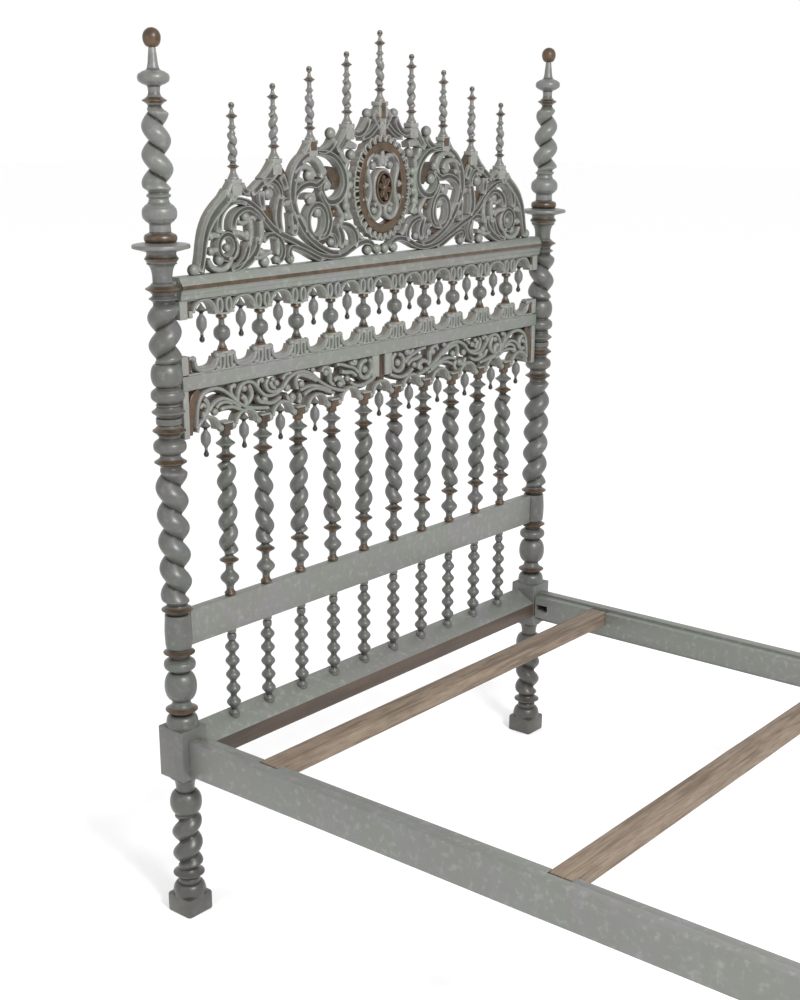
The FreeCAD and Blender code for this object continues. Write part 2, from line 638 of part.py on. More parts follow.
def gallery_cresting():
    board, cuts = arcade(GALLERY_RAIL_TOP, CRESTING_TOP, ARCH_CROWN * CRESTING_HEIGHT, -1)
    return plate(pierce(board, cuts), PANEL_Y, PANEL_THICKNESS)


def frieze_panel():
    """Frieze with an arcaded lower edge and leaf-shaped piercings between scrolls."""
    board, cuts = arcade(FRIEZE_BOTTOM, GALLERY_RAIL_BOTTOM, FRIEZE_CROWN * FRIEZE_HEIGHT, 1)
    low = FRIEZE_BOTTOM + 0.45 * FRIEZE_HEIGHT
    high = FRIEZE_BOTTOM + 0.9 * FRIEZE_HEIGHT
    for x in spindle_xs(SPINDLE_COUNT):
        lean = 1 if x < 0 else -1
        leaf = [(x - lean * 38, low), (x + lean * 8, low + 6), (x + lean * 34, high - 8),
                (x + lean * 10, high), (x - lean * 22, high - 18)]
        cuts.append(face_of(leaf))
    return plate(pierce(board, cuts), PANEL_Y, PANEL_THICKNESS)


# ---------------------------------------------------------------- carved crest

# The right half's scrolls, in crest units. Arcs run through three points and turn from one width to
# another: x, height over the crest rail for start, middle and end, then the two widths.
CREST_ARCS = [
    (581, -6, 556, 88, 488, 160, 20, 26),      # end bracket
    (272, 36, 345, 84, 405, 130, 14, 18),      # stem of the outer volute
    (405, 130, 424, 139, 452, 144, 18, 16),
    (352, 18, 324, 48, 354, 84, 13, 10),       # small curl
    (300, 8, 335, 20, 380, 8, 12, 12),         # foot between two balls
    (20, 18, 60, 28, 105, 11, 12, 14),         # foot wave
    (105, 11, 175, 2, 240, 30, 15, 18),
    (240, 30, 304, 122, 238, 240, 18, 26),     # great arc
    (302, 98, 264, 92, 238, 60, 12, 14),       # leaves between the great arc and its scrolls
    (294, 150, 252, 176, 214, 144, 12, 14),
    (284, 196, 246, 204, 206, 214, 14, 12),
    (468, 160, 418, 166, 386, 214, 14, 24),    # shoulder bracket
    (424, 142, 384, 180, 344, 138, 13, 12),    # shoulder leaf
    (386, 106, 352, 116, 300, 128, 14, 14),    # tie between the compartments
    (352, 212, 300, 188, 250, 226, 18, 18),    # saddle
    (232, 236, 186, 256, 132, 276, 16, 18),    # upper bracket
    (104, 276, 62, 276, 20, 322, 16, 18),      # top bracket
    (118, 276, 118, 240, 84, 206, 20, 16),     # stem beside the medallion
    (0, 262, 0, 290, 0, 318, 26, 22),          # neck over the medallion
]
# Spiral scrolls: centre x, height, first and last radius, first and last angle, first and last width
CREST_SPIRALS = [
    (471, 68, 78, 60, 104, 0, 16, 15),         # outer volute
    (471, 68, 60, 84, 0, -174, 15, 18),
    (471, 68, 84, 28, -174, -330, 18, 11),
    (501, 51, 26, 17, 0, 360, 10, 10),         # its eye
    (324, 135, 18, 12, 20, 360, 12, 12),       # leaf volute
    (172, 178, 62, 44, 80, -60, 16, 14),       # great volute
    (172, 178, 44, 12, -60, -420, 14, 10),
    (205, 82, 38, 30, 130, -180, 15, 12),      # inner scroll
    (142, 44, 30, 14, 250, 20, 13, 10),        # curl under the medallion
]
# x, height and radius of the carved balls
CREST_BALLS = [(600, 8, 14), (386, 9, 12), (295, 11, 13), (180, 167, 12), (19, 11, 12), (157, 276, 12)]
# x and top height of the pedestals that carry the spires
PEDESTALS = [(0, 343), (115, 295), (238, 262), (353, 226), (476, 188)]
SCROLL_FACET = 80              # about the length of one facet along a scroll
MEDALLION_SCROLL = (34, 46, 24, 24, -155, 100, 12, 12)     # the upper right one, from the rosette's middle


def arc_rows(x0, z0, x1, z1, x2, z2, width0, width1):
    """Rows of (x, z, width) along the circle through three points."""
    turn = 2 * (x0 * (z1 - z2) + x1 * (z2 - z0) + x2 * (z0 - z1))
    length = math.dist((x0, z0), (x2, z2))
    if abs(turn) < 1e-3 * length ** 2:
        pieces = max(1, round(length / (2 * SCROLL_FACET)))
        shares = [k / pieces for k in range(pieces + 1)]
        return [(x0 + t * (x2 - x0), z0 + t * (z2 - z0), width0 + t * (width1 - width0)) for t in shares]
    square0, square1, square2 = x0 ** 2 + z0 ** 2, x1 ** 2 + z1 ** 2, x2 ** 2 + z2 ** 2
    x = (square0 * (z1 - z2) + square1 * (z2 - z0) + square2 * (z0 - z1)) / turn
    z = (square0 * (x2 - x1) + square1 * (x0 - x2) + square2 * (x1 - x0)) / turn
    start = math.degrees(math.atan2(z0 - z, x0 - x))
    stop = math.degrees(math.atan2(z2 - z, x2 - x))
    sweep = (stop - start) % 360 if turn > 0 else -((start - stop) % 360)
    radius = math.dist((x0, z0), (x, z))
    return spiral_rows(x, z, radius, radius, start, start + sweep, width0, width1)


def spiral_rows(x, z, radius0, radius1, start, stop, width0, width1):
    """Rows of (x, z, width) along a spiral."""
    length = math.radians(abs(stop - start)) * (radius0 + radius1) / 2
    pieces = max(2, round(length / SCROLL_FACET), round(abs(stop - start) / 65))
    rows = []
    for k in range(pieces + 1):
        t = k / pieces
        angle = math.radians(start + t * (stop - start))
        radius = radius0 + t * (radius1 - radius0)
        width = width0 + t * (width1 - width0)
        rows.append((x + radius * math.cos(angle), z + radius * math.sin(angle), width))
    return rows


def drawn_face(points, base=CREST_RAIL_TOP):
    """Face from points in crest units over a height."""
    return face_of([(CREST_UNIT * x, base + CREST_UNIT * z) for x, z in points])


def ribbon(rows, side, up=1, base=CREST_RAIL_TOP):
    """Face of a scroll on one side of the bed: its middle line widened both ways."""
    left, right = [], []
    for k, (x, z, width) in enumerate(rows):
        before = rows[max(0, k - 1)]
        after = rows[min(len(rows) - 1, k + 1)]
        dx, dz = after[0] - before[0], after[1] - before[1]
        reach = width / 2 / math.hypot(dx, dz)
        left.append((side * (x - dz * reach), up * (z + dx * reach)))
        right.append((side * (x + dz * reach), up * (z - dx * reach)))
    return drawn_face(left + right[::-1], base)


def ring_points(x, z, half_width, height, sides):
    """Corners of a closed oval."""
    return arc_points(x, z, half_width, height, 0, 360, sides)[:-1]


def oval(reach, sides=OVAL_SIDES):
    """Points of an oval, reach inside the outermost of the medallion's teeth."""
    centre = CREST_RAIL_TOP + MEDALLION_CENTRE
    wide = MEDALLION_HALF_WIDTH - reach
    return ring_points(0, centre, wide, MEDALLION_HALF_HEIGHT - reach, sides)


def toothed_rim():
    """Oval with square teeth around it, whole; the opening is cut afterwards."""
    tips = oval(0, 2 * MEDALLION_TEETH)
    roots = oval(TOOTH_DEPTH, 2 * MEDALLION_TEETH)
    outline = []
    for k in range(0, 2 * MEDALLION_TEETH, 2):
        outline += [tips[k], tips[k + 1], roots[k + 1], roots[(k + 2) % len(roots)]]
    return face_of(outline)


def pedestal_face(x, top, half):
    middle = CREST_UNIT * x
    high = CREST_RAIL_TOP + CREST_UNIT * top
    low = high - PEDESTAL_HEIGHT
    return face_of([(middle - half, low), (middle + half, low), (middle + half, high), (middle - half, high)])


def crest_faces():
    """Faces of all the scrolls, balls and pedestals."""
    faces = [toothed_rim()]
    for side in (-1, 1):
        for numbers in CREST_ARCS:
            faces.append(ribbon(arc_rows(*numbers), side))
        for numbers in CREST_SPIRALS:
            faces.append(ribbon(spiral_rows(*numbers), side))
        for x, z, radius in CREST_BALLS:
            faces.append(drawn_face(ring_points(side * x, z, radius, radius, CARVED_BALL_SIDES)))
        for x, top in PEDESTALS[1:]:
            faces.append(pedestal_face(side * x, top, PEDESTAL_HALF_WIDTH))
    faces.append(pedestal_face(*PEDESTALS[0], TOP_PEDESTAL_HALF_WIDTH))
    return faces


def crest_panel():
    """Pierced and carved crest: scrolls that grow into each other, cut level at the foot."""
    solids = [plate(face, HEAD_Y, CREST_THICKNESS) for face in crest_faces()]
    carved = solids[0].multiFuse(solids[1:]).removeSplitter()
    room = Part.makeBox(2 * POST_X, 2 * CREST_THICKNESS, CREST_RAIL_TOP,
                        Vector(-POST_X, HEAD_Y - CREST_THICKNESS, CREST_RAIL_TOP))
    opening = plate(face_of(oval(RIM_WIDTH - INSET_CLEARANCE)), HEAD_Y, 2 * CREST_THICKNESS)
    return carved.common(room).cut(opening)


def medallion():
    """Gilt oval ring set in the crest, with four scrolls that hold a hub."""
    ring = face_of(oval(RIM_WIDTH)).cut(face_of(oval(RIM_WIDTH + GILT_RING_WIDTH)))
    depth = CREST_THICKNESS + GILT_RING_PROUD
    solid = plate(ring, HEAD_Y - GILT_RING_PROUD / 2, depth)
    centre = CREST_RAIL_TOP + MEDALLION_CENTRE
    rows = spiral_rows(*MEDALLION_SCROLL)
    for side in (-1, 1):
        for up in (-1, 1):
            scroll = ribbon(rows, side, up, centre)
            solid = solid.fuse(plate(scroll, HEAD_Y, MEDALLION_SCROLL_THICKNESS))
    hub = face_of(ring_points(0, centre, ROSETTE_HALF_WIDTH, ROSETTE_HALF_HEIGHT, HUB_SIDES))
    return solid.fuse(plate(hub, HEAD_Y, MEDALLION_SCROLL_THICKNESS)).removeSplitter()


def rosette():
    """Domed oval boss on the front of the hub."""
    front = HEAD_Y - MEDALLION_SCROLL_THICKNESS / 2
    centre = CREST_RAIL_TOP + MEDALLION_CENTRE
    sections = []
    for share, size in ((0.0, 1.0), (0.45, 0.94), (0.8, 0.66), (1.0, 0.3)):
        outline = ring_points(0, centre, size * ROSETTE_HALF_WIDTH, size * ROSETTE_HALF_HEIGHT, HUB_SIDES)
        y = front - share * ROSETTE_THICKNESS
        sections.append([Vector(x, y, z) for x, z in outline])
    return loft(sections)


def spire(x, top):
    """Small turned and twisted finial on a pedestal."""
    base = CREST_RAIL_TOP + CREST_UNIT * top
    peak = base + SPIRE_HEIGHT
    foot = [(0.0, 0.9), (0.12, 0.45), (0.165, 1.05)]
    head = [(0.67, 0.75), (0.74, 0.36), (0.82, 1.0), (0.89, 0.26), (0.955, 0.52), (1.0, 0.2)]
    rows = stations(foot, base, peak, SPIRE_RADIUS)
    low = base + 0.23 * SPIRE_HEIGHT
    high = base + 0.61 * SPIRE_HEIGHT
    rows += twist(low, high, 0.82 * SPIRE_RADIUS, 0.3 * SPIRE_RADIUS, SPIRE_PITCH, 1)
    rows += stations(head, base, peak, SPIRE_RADIUS)
    return turned(CREST_UNIT * x, HEAD_Y, rows, SMALL_SIDES)


# ---------------------------------------------------------------- the whole bed

def compound(shapes):
    return Part.makeCompound(list(shapes))


def corner_pieces(side, word):
    """Posts with all that stands on them, and the side rail, of one side."""
    x = side * POST_X
    disc_top = POST_TOP + DISC_HEIGHT
    return {
        "head_post_" + word: head_post(side),
        "finial_disc_" + word: disc(x, HEAD_Y, POST_TOP),
        "finial_" + word: finial(x, HEAD_Y, disc_top, side),
        "finial_ball_" + word: turned(x, HEAD_Y, ball_rows(disc_top + FINIAL_HEIGHT, FINIAL_BALL_RADIUS),
                                      FINIAL_SIDES),
        "foot_post_" + word: foot_post(side),
        "foot_disc_" + word: disc(x, -HEAD_Y, FOOT_POST_TOP),
        "foot_ball_" + word: foot_ball(x, -HEAD_Y, FOOT_POST_TOP + DISC_HEIGHT),
        "side_rail_" + word: side_rail(side),
        "ledger_" + word: ledger(side),
    }


def headboard_pieces():
    """Everything between the head posts."""
    xs = spindle_xs(SPINDLE_COUNT)
    arches = spindle_xs(SPINDLE_COUNT + 1)
    valance_crown = VALANCE_BOTTOM + ARCH_CROWN * VALANCE_HEIGHT
    frieze_crown = FRIEZE_BOTTOM + FRIEZE_CROWN * FRIEZE_HEIGHT
    kept = [x for k, x in enumerate(arches) if k != LOST_PENDANT]
    pieces = {
        "crest_panel": crest_panel(),
        "crest_medallion": medallion(),
        "crest_rosette": rosette(),
        "crest_rail": cross_rail("crest_rail", PANEL_THICKNESS),
        "crest_cap": crest_cap(),
        "gallery_valance": gallery_valance(),
        "gallery_cresting": gallery_cresting(),
        "gallery_rail": cross_rail("gallery_rail", PANEL_THICKNESS),
        "gallery_balusters": compound(gallery_baluster(x) for x in xs),
        "gallery_pendants": compound(pendant(x, valance_crown) for x in arches),
        "frieze_panel": frieze_panel(),
        "frieze_pendants": compound(pendant(x, frieze_crown) for x in kept),
        "mid_rail": cross_rail("mid_rail", MID_RAIL_THICKNESS),
        "head_rail": head_rail(),
        "bobbin_spindles": compound(bobbin_spindle(x) for x in xs),
    }
    places = [(-x, top) for x, top in reversed(PEDESTALS[1:])] + PEDESTALS
    for k, (x, top) in enumerate(places):
        pieces["spire_%d" % (k + 1)] = spire(x, top)
    for k in range(SPINDLE_COUNT):
        pieces["long_spindle_%d" % (k + 1)] = long_spindle(k)
    return pieces


def build():
    """Every piece of the bed by name."""
    corners = [(side, end) for side in (-1, 1) for end in (-1, 1)]
    pieces = {}
    for side, word in ((-1, "left"), (1, "right")):
        pieces.update(corner_pieces(side, word))
    pieces.update(headboard_pieces())
    for index in range(SLAT_COUNT):
        pieces["slat_%d" % (index + 1)] = slat(index)
    pieces["foot_rail"] = foot_rail()
    pieces["bed_bolts"] = compound(bed_bolt(*corner) for corner in corners)
    pieces["bolt_nuts"] = compound(bolt_nut(*corner) for corner in corners)
    return pieces


if __name__ == "__main__":
    os.makedirs("parts", exist_ok=True)
    for name, shape in build().items():
        shape.exportStep("parts/" + name + ".step")
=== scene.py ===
"""Looks of a painted spindle bed, built round its fixed frame.

Sizes are millimetres until a mesh is finished, and x is across the bed, y along it and z up.
"""

import logging
import math
from dataclasses import dataclass, field, replace
from enum import Enum
from typing import Sequence

import bmesh
import bpy
import numpy as np
from mathutils import Matrix, Vector


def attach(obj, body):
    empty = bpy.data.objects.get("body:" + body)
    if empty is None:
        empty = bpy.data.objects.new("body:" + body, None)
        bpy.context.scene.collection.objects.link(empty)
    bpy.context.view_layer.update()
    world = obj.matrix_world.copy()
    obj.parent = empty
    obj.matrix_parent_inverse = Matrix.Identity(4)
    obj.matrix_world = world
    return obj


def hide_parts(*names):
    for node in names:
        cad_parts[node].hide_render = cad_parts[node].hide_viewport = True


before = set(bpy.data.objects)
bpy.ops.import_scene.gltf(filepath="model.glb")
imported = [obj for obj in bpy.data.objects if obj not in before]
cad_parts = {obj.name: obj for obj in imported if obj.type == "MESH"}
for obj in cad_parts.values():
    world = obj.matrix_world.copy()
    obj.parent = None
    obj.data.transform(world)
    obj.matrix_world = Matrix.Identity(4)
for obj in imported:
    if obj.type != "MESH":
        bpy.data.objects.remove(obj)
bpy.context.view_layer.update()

LOG = logging.getLogger("bed")
MM = 0.001
HEAD_Y = 995.0
PANEL_Y = 997.0
POST_X = 685.0
SPACING = 116.0
HEAD_DISC_SEAT = 1503.0
FINIAL_SEAT = 1521.0
FINIAL_BALL_SEAT = 1890.0
FOOT_DISC_SEAT = 625.0
FOOT_BALL_SEAT = 643.0
VALANCE_DROP_TOP = 1389.2
FRIEZE_DROP_TOP = 1141.9
CREST_FOOT = 1449.0
VALANCE_FOOT = 1362.0
CRESTING_FOOT = 1244.0
FRIEZE_FOOT = 1111.0
FRONT_ANGLE = -math.pi / 2
LEAST_BAND = 3.0
DEEP_BAND = 13.0
FACE_DEPTH = 7.2
SIDES = ((-1, "left"), (1, "right"))
Row = tuple[float, float, float]


class Body(Enum):
    """Bodies of the frame that pieces ride on."""

    BED = "bed_frame"
    SLAT_1 = "slat_1"
    SLAT_2 = "slat_2"
    SLAT_3 = "slat_3"


class Slot(Enum):
    """Material slots of the record."""

    PAINT = "paint"
    GILT = "gilt"
    BRONZE = "dark_bronze"
    BARE = "bare_wood"


class Mask(Enum):
    """Attributes that say where a finish lies on a mesh, and where painted shade and painted highlight lie.
    """

    GILT = "gilt"
    BARE = "bare"
    RECESS = "recess"
    EDGE = "edge"


class Hand(Enum):
    """Way a rope twist climbs, seen from in front."""

    RIGHT = 1
    LEFT = -1

    def other(self) -> "Hand":
        """The mirrored twist."""
        return Hand(-self.value)


class Cutter(Enum):
    """How a turner's profile runs from one point to the next."""

    LINE = "line"
    SWELL = "swell"
    TURN = "turn"
    WAVE = "wave"
    FLARE = "flare"
    SETTLE = "settle"

    def share(self, t: float) -> float:
        """Part of the way in radius at a part of the way in height.

        Args:
            t: Share of the height, from 0 to 1.

        Returns:
            Share of the change in radius.
        """
        if self is Cutter.SWELL:
            return math.sqrt(max(0.0, 1 - (1 - t) ** 2))
        if self is Cutter.TURN:
            return 1 - math.sqrt(max(0.0, 1 - t * t))
        if self is Cutter.WAVE:
            return (1 - math.cos(math.pi * t)) / 2
        if self is Cutter.FLARE:
            return t ** 1.5
        if self is Cutter.SETTLE:
            return 1 - (1 - t) ** 1.5
        return t


# ------------------------------------------------------------------ shader maths


class Value:
    """A number that changes over a surface, with the usual operators."""

    def __init__(self, kit: "NodeKit", socket: bpy.types.NodeSocket) -> None:
        """Wrap one output socket."""
        self.kit = kit
        self.socket = socket

    def _join(self, operation: str, first: object, second: object) -> "Value":
        """One Math node on two values or numbers."""
        made = self.kit.node("ShaderNodeMath", {"operation": operation}, {0: first, 1: second})
        return Value(self.kit, made.outputs[0])

    def __add__(self, other: object) -> "Value":
        """Sum."""
        return self._join("ADD", self, other)

    __radd__ = __add__

    def __mul__(self, other: object) -> "Value":
        """Product."""
        return self._join("MULTIPLY", self, other)

    __rmul__ = __mul__

    def __sub__(self, other: object) -> "Value":
        """Difference."""
        return self._join("SUBTRACT", self, other)

    def __rsub__(self, other: object) -> "Value":
        """Difference the other way round."""
        return self._join("SUBTRACT", other, self)

    def between(self, low: float, high: float) -> "Value":
        """Smooth step.

        Args:
            low: Where the result starts to leave 0.
            high: Where it reaches 1.

        Returns:
            A value from 0 to 1.
        """
        made = self.kit.node("ShaderNodeMapRange", {"interpolation_type": "SMOOTHSTEP"},
                             {"Value": self, "From Min": low, "From Max": high})
        return Value(self.kit, made.outputs[0])


class NodeKit:
    """Node tree of one material."""

    def __init__(self, name: str) -> None:
        """Start an empty material with its shader and output.

        Args:
            name: The material's name.
        """
        self.material = bpy.data.materials.new(name)
        self.material.use_nodes = True
        self.tree = self.material.node_tree
        self.tree.nodes.clear()
        self.shader = self.node("ShaderNodeBsdfPrincipled", {}, {})
        self.node("ShaderNodeOutputMaterial", {}, {"Surface": self.shader.outputs[0]})
        self.place = self.node("ShaderNodeTexCoord", {}, {}).outputs["Object"]

    def node(self, kind: str, settings: dict[str, object], inputs: dict[object, object]) -> bpy.types.Node:
        """Add any node.

        Args:
            kind: The node's type.
            settings: Its properties, set before the inputs.
            inputs: Value, socket or number for each input, by name or place.

        Returns:
            The node.
        """
        made = self.tree.nodes.new(kind)
        for key, value in settings.items():
            setattr(made, key, value)
        for key, value in inputs.items():
            source = value.socket if isinstance(value, Value) else value
            if isinstance(source, bpy.types.NodeSocket):
                self.tree.links.new(source, made.inputs[key])
            else:
                made.inputs[key].default_value = source
        return made

    def stretched(self, scale: Sequence[float]) -> bpy.types.NodeSocket:
        """Object coordinates stretched along the axes."""
        return self.node("ShaderNodeMapping", {}, {"Vector": self.place, "Scale": scale}).outputs[0]

    def noise(self, scale: float, detail: float, rough: float, place: object = None,
              warp: float = 0.0) -> Value:
        """Cloudy pattern.

        Args:
            scale: Clouds in a metre.
            detail: Octaves.
            rough: How strong the finer octaves are.
            place: Coordinates other than the plain ones.
            warp: How far the pattern is pulled about.

        Returns:
            A value around a half.
        """
        made = self.node("ShaderNodeTexNoise", {}, {
            "Vector": place or self.place, "Scale": scale, "Detail": detail, "Roughness": rough,
            "Distortion": warp})
        return Value(self, made.outputs[0])

    def height(self) -> Value:
        """Height over the floor in metres."""
        return Value(self, self.node("ShaderNodeSeparateXYZ", {}, {0: self.place}).outputs[2])

    def mask(self, mask: Mask) -> Value:
        """One of the mesh's finish masks."""
        made = self.node("ShaderNodeAttribute", {"attribute_name": mask.value}, {})
        return Value(self, made.outputs["Fac"])

    def mix(self, factor: object, first: object, second: object) -> bpy.types.NodeSocket:
        """Mix of two colours, each a socket or a plain colour."""
        made = self.node("ShaderNodeMix", {"data_type": "RGBA"}, {0: factor, 6: first, 7: second})
        return made.outputs[2]

    def finish(self, colour: object, rough: Value, bump: Value, depth: float, metal: object = 0.0,
               coat: float = 0.0) -> bpy.types.Material:
        """Plug the looks into the shader.

        Args:
            colour: Colour socket.
            rough: Roughness.
            bump: Height of the fine relief, from 0 to 1.
            depth: Millimetres that the relief reaches.
            metal: Metallic value.
            coat: Weight of the waxy coat.

        Returns:
            The finished material.
        """
        relief = self.node("ShaderNodeBump", {}, {"Height": bump, "Distance": depth * MM, "Strength": 1.0})
        self.tree.links.new(colour, self.shader.inputs["Base Color"])
        self.tree.links.new(rough.socket, self.shader.inputs["Roughness"])
        self.tree.links.new(relief.outputs[0], self.shader.inputs["Normal"])
        if isinstance(metal, Value):
            self.tree.links.new(metal.socket, self.shader.inputs["Metallic"])
        self.shader.inputs["Coat Weight"].default_value = coat
        self.shader.inputs["Coat Roughness"].default_value = 0.3
        return self.material


def linear(channel: int) -> float:
    """Linear light of one display channel of 0 to 255."""
    share = channel / 255
    return share / 12.92 if share <= 0.04045 else ((share + 0.055) / 1.055) ** 2.4


def colour(red: int, green: int, blue: int) -> tuple[float, float, float, float]:
    """Linear colour from display values of 0 to 255."""
    return linear(red), linear(green), linear(blue), 1.0


# ------------------------------------------------------------------ finishes


@dataclass(frozen=True)
class AgedPaint:
    """Old grey-green paint, darkened in the hollows by brown glazing and painted shade, with proud edges
    lightened by wear and painted highlight, rubbed gilt bands and bare wood.
    """

    name: str = "rail_paint"
    sage: tuple = colour(100, 105, 97)
    grey: tuple = colour(101, 101, 97)
    lavender: tuple = colour(107, 105, 108)
    # Pale chalky tone, also used as painted highlight on proud edges.
    chalk_and_highlight: tuple = colour(158, 158, 151)
    # Dark brown of glazing, also used as painted shade in hollows and towards the floor.
    glaze_and_shade: tuple = colour(33, 28, 20)
    copper: tuple = colour(80, 62, 43)
    # Dark gilt tone, also used as painted shade in gilt hollows.
    umber_and_shade: tuple = colour(44, 36, 27)
    wood: tuple = colour(70, 56, 45)
    wood_dark: tuple = colour(47, 36, 28)
    sheen: float = 0.15
    # Strength of the painted shade towards the floor.
    painted_shade: float = 0.0

    def material(self) -> bpy.types.Material:
        """Build the material."""
        kit = NodeKit(self.name)
        clouds = kit.noise(3.1, 4, 0.6, warp=0.6)
        patches = kit.noise(7.0, 5, 0.62, warp=1.2)
        fine = kit.noise(60.0, 4, 0.6)
        grain = kit.noise(40.0, 4, 0.6, kit.stretched((0.08, 1.0, 1.0)))
        specks = kit.noise(320.0, 2, 0.5)
        recess, edge = kit.mask(Mask.RECESS), kit.mask(Mask.EDGE)
        gilt, bare = kit.mask(Mask.GILT), kit.mask(Mask.BARE)
        paint = kit.mix(clouds.between(0.38, 0.62), self.sage, self.grey)
        paint = kit.mix(patches.between(0.5, 0.64) * 0.6, paint, self.lavender)
        # Proud edges lighten towards pale: partly worn paint, partly painted highlight.
        paint = kit.mix(fine.between(0.5, 0.75) * 0.3 + edge * 0.65, paint, self.chalk_and_highlight)
        # Painted shade: the paint darkens towards the floor.
        foot = (1.0 - kit.height().between(0.0, 0.75)) * self.painted_shade
        # Hollows darken with brown glazing and painted shade; specks and grain add real dirt; the part near
        # the floor adds painted shade.
        dirt_and_shade = recess * (0.85 + fine * 0.6) + patches.between(0.6, 0.8) * recess.between(0.02, 0.2) * 0.4
        dirt_and_shade = dirt_and_shade + specks.between(0.68, 0.78) * 0.45 + grain.between(0.62, 0.8) * 0.12
        dirt_and_shade = dirt_and_shade + foot * (0.4 + fine)
        paint = kit.mix(dirt_and_shade.between(0.0, 1.0), paint, self.glaze_and_shade)
        worn = (edge * 1.2 + fine - 0.62).between(0.35, 0.6) * 0.6
        paint = kit.mix(worn, paint, self.wood)
        metal_tone = kit.mix((fine + patches * 0.6).between(0.5, 1.05), self.umber_and_shade, self.copper)
        # Gilt darkens in its hollows: dark size and painted shade.
        metal_tone = kit.mix(recess.between(0.1, 0.9) * 0.8, metal_tone, self.umber_and_shade)
        band = (gilt + (fine - 0.5) * 0.5).between(0.4, 0.6) * gilt.between(0.1, 0.7)
        look = kit.mix(band, paint, metal_tone)
        timber = kit.mix((grain * 0.7 + clouds * 0.4).between(0.35, 0.7), self.wood_dark, self.wood)
        bared = (bare + (patches - 0.5) * 0.3).between(0.42, 0.56)
        look = kit.mix(bared, look, timber)
        rough = 0.38 + fine * 0.16 + recess * 0.25 + bared * 0.2 - band * 0.06
        height = fine * 0.5 + grain * 0.35 + specks * 0.15
        return kit.finish(look, rough, height, 0.7, band * 0.3, self.sheen)


@dataclass(frozen=True)
class RubbedGilt:
    """Copper-brown gilding, rubbed down to dark size in places and darkened in the hollows as painted shade.
    """

    name: str = "rubbed_gilt"
    bright: tuple = colour(88, 69, 49)
    dull: tuple = colour(66, 51, 37)
    # Dark size, also used as painted shade in the hollows.
    dark: tuple = colour(35, 28, 21)

    def material(self) -> bpy.types.Material:
        """Build the material."""
        kit = NodeKit(self.name)
        clouds = kit.noise(38.0, 4, 0.6, warp=0.8)
        fine = kit.noise(170.0, 3, 0.6)
        recess = kit.mask(Mask.RECESS)
        tone = kit.mix(clouds.between(0.38, 0.66), self.dull, self.bright)
        # Hollows darken: dark size showing through, and painted shade.
        tone = kit.mix((recess + fine.between(0.58, 0.75) * 0.5).between(0.0, 1.0), tone, self.dark)
        rough = 0.34 + clouds * 0.2 + recess * 0.3
        metal = 0.4 - recess * 0.3
        return kit.finish(tone, rough, fine * 0.6 + clouds * 0.4, 0.4, metal, 0.1)


@dataclass(frozen=True)
class DarkTip:
    """Grey paint that ends in dark bronze, for the drops, with painted shade in its hollows."""

    name: str = "dark_tip"
    grey: tuple = colour(88, 89, 86)
    bronze: tuple = colour(38, 34, 29)
    # Dark tone for painted shade in the hollows, with some dirt.
    glaze_and_shade: tuple = colour(54, 48, 40)

    def material(self) -> bpy.types.Material:
        """Build the material."""
        kit = NodeKit(self.name)
        fine = kit.noise(140.0, 3, 0.6)
        recess, gilt = kit.mask(Mask.RECESS), kit.mask(Mask.GILT)
        # Hollows darken as painted shade, with fine dirt.
        dirt_and_shade = (recess * 0.9 + fine.between(0.55, 0.8) * 0.3).between(0.0, 1.0)
        tone = kit.mix(dirt_and_shade, self.grey, self.glaze_and_shade)
        band = (gilt + (fine - 0.5) * 0.3).between(0.4, 0.6)
        tone = kit.mix(band, tone, self.bronze)
        return kit.finish(tone, 0.42 + fine * 0.15 - band * 0.1, fine, 0.4, band * 0.4, 0.15)


@dataclass(frozen=True)
class BareWood:
    """Old sawn softwood with its grain along one axis, its proud edges lightened by dust and painted
    highlight.
    """

    name: str = "bare_wood"
    along: tuple = (1.0, 14.0, 14.0)
    light: tuple = colour(124, 110, 95)
    mid: tuple = colour(102, 87, 73)
    dark: tuple = colour(72, 58, 45)
    # Pale tone for dust and painted highlight on proud edges.
    dust_and_highlight: tuple = colour(124, 117, 107)

    def material(self) -> bpy.types.Material:
        """Build the material."""
        kit = NodeKit(self.name)
        fibres = kit.noise(16.0, 6, 0.65, kit.stretched(self.along), 0.4)
        rings = kit.noise(3.0, 3, 0.5, kit.stretched(self.along), 1.5)
        clouds = kit.noise(5.0, 4, 0.6)
        edge = kit.mask(Mask.EDGE)
        tone = kit.mix(fibres.between(0.35, 0.68), self.light, self.mid)
        tone = kit.mix(rings.between(0.5, 0.62) * 0.55, tone, self.dark)
        tone = kit.mix(clouds.between(0.55, 0.75) * 0.5, tone, self.dark)
        # Proud edges lighten: dust and painted highlight.
        tone = kit.mix(edge * 0.35, tone, self.dust_and_highlight)
        return kit.finish(tone, 0.62 + fibres * 0.25, fibres * 0.7 + rings * 0.3, 0.8)


@dataclass(frozen=True)
class Iron:
    """Dark old ironwork."""

    name: str = "old_iron"
    black: tuple = colour(52, 48, 45)
    rust: tuple = colour(88, 60, 44)

    def material(self) -> bpy.types.Material:
        """Build the material."""
        kit = NodeKit(self.name)
        fine = kit.noise(120.0, 4, 0.6)
        tone = kit.mix(fine.between(0.45, 0.7), self.black, self.rust)
        return kit.finish(tone, 0.45 + fine * 0.3, fine, 0.5, fine * 0.3 + 0.55)


# ------------------------------------------------------------------ the bench


def blank() -> bmesh.types.BMesh:
    """Empty mesh with a layer for each mask."""
    bm = bmesh.new()
    for mask in Mask:
        bm.verts.layers.float.new(mask.value)
    return bm


def layer(bm: bmesh.types.BMesh, mask: Mask) -> bmesh.types.BMLayerItem:
    """Layer of one mask."""
    return bm.verts.layers.float[mask.value]


def bevel(bm: bmesh.types.BMesh, edges: Sequence[bmesh.types.BMEdge], width: float) -> None:
    """Round edges in two steps."""
    bmesh.ops.bevel(bm, geom=edges, offset=width, segments=2, profile=0.5, affect="EDGES", material=-1,
                    clamp_overlap=True)


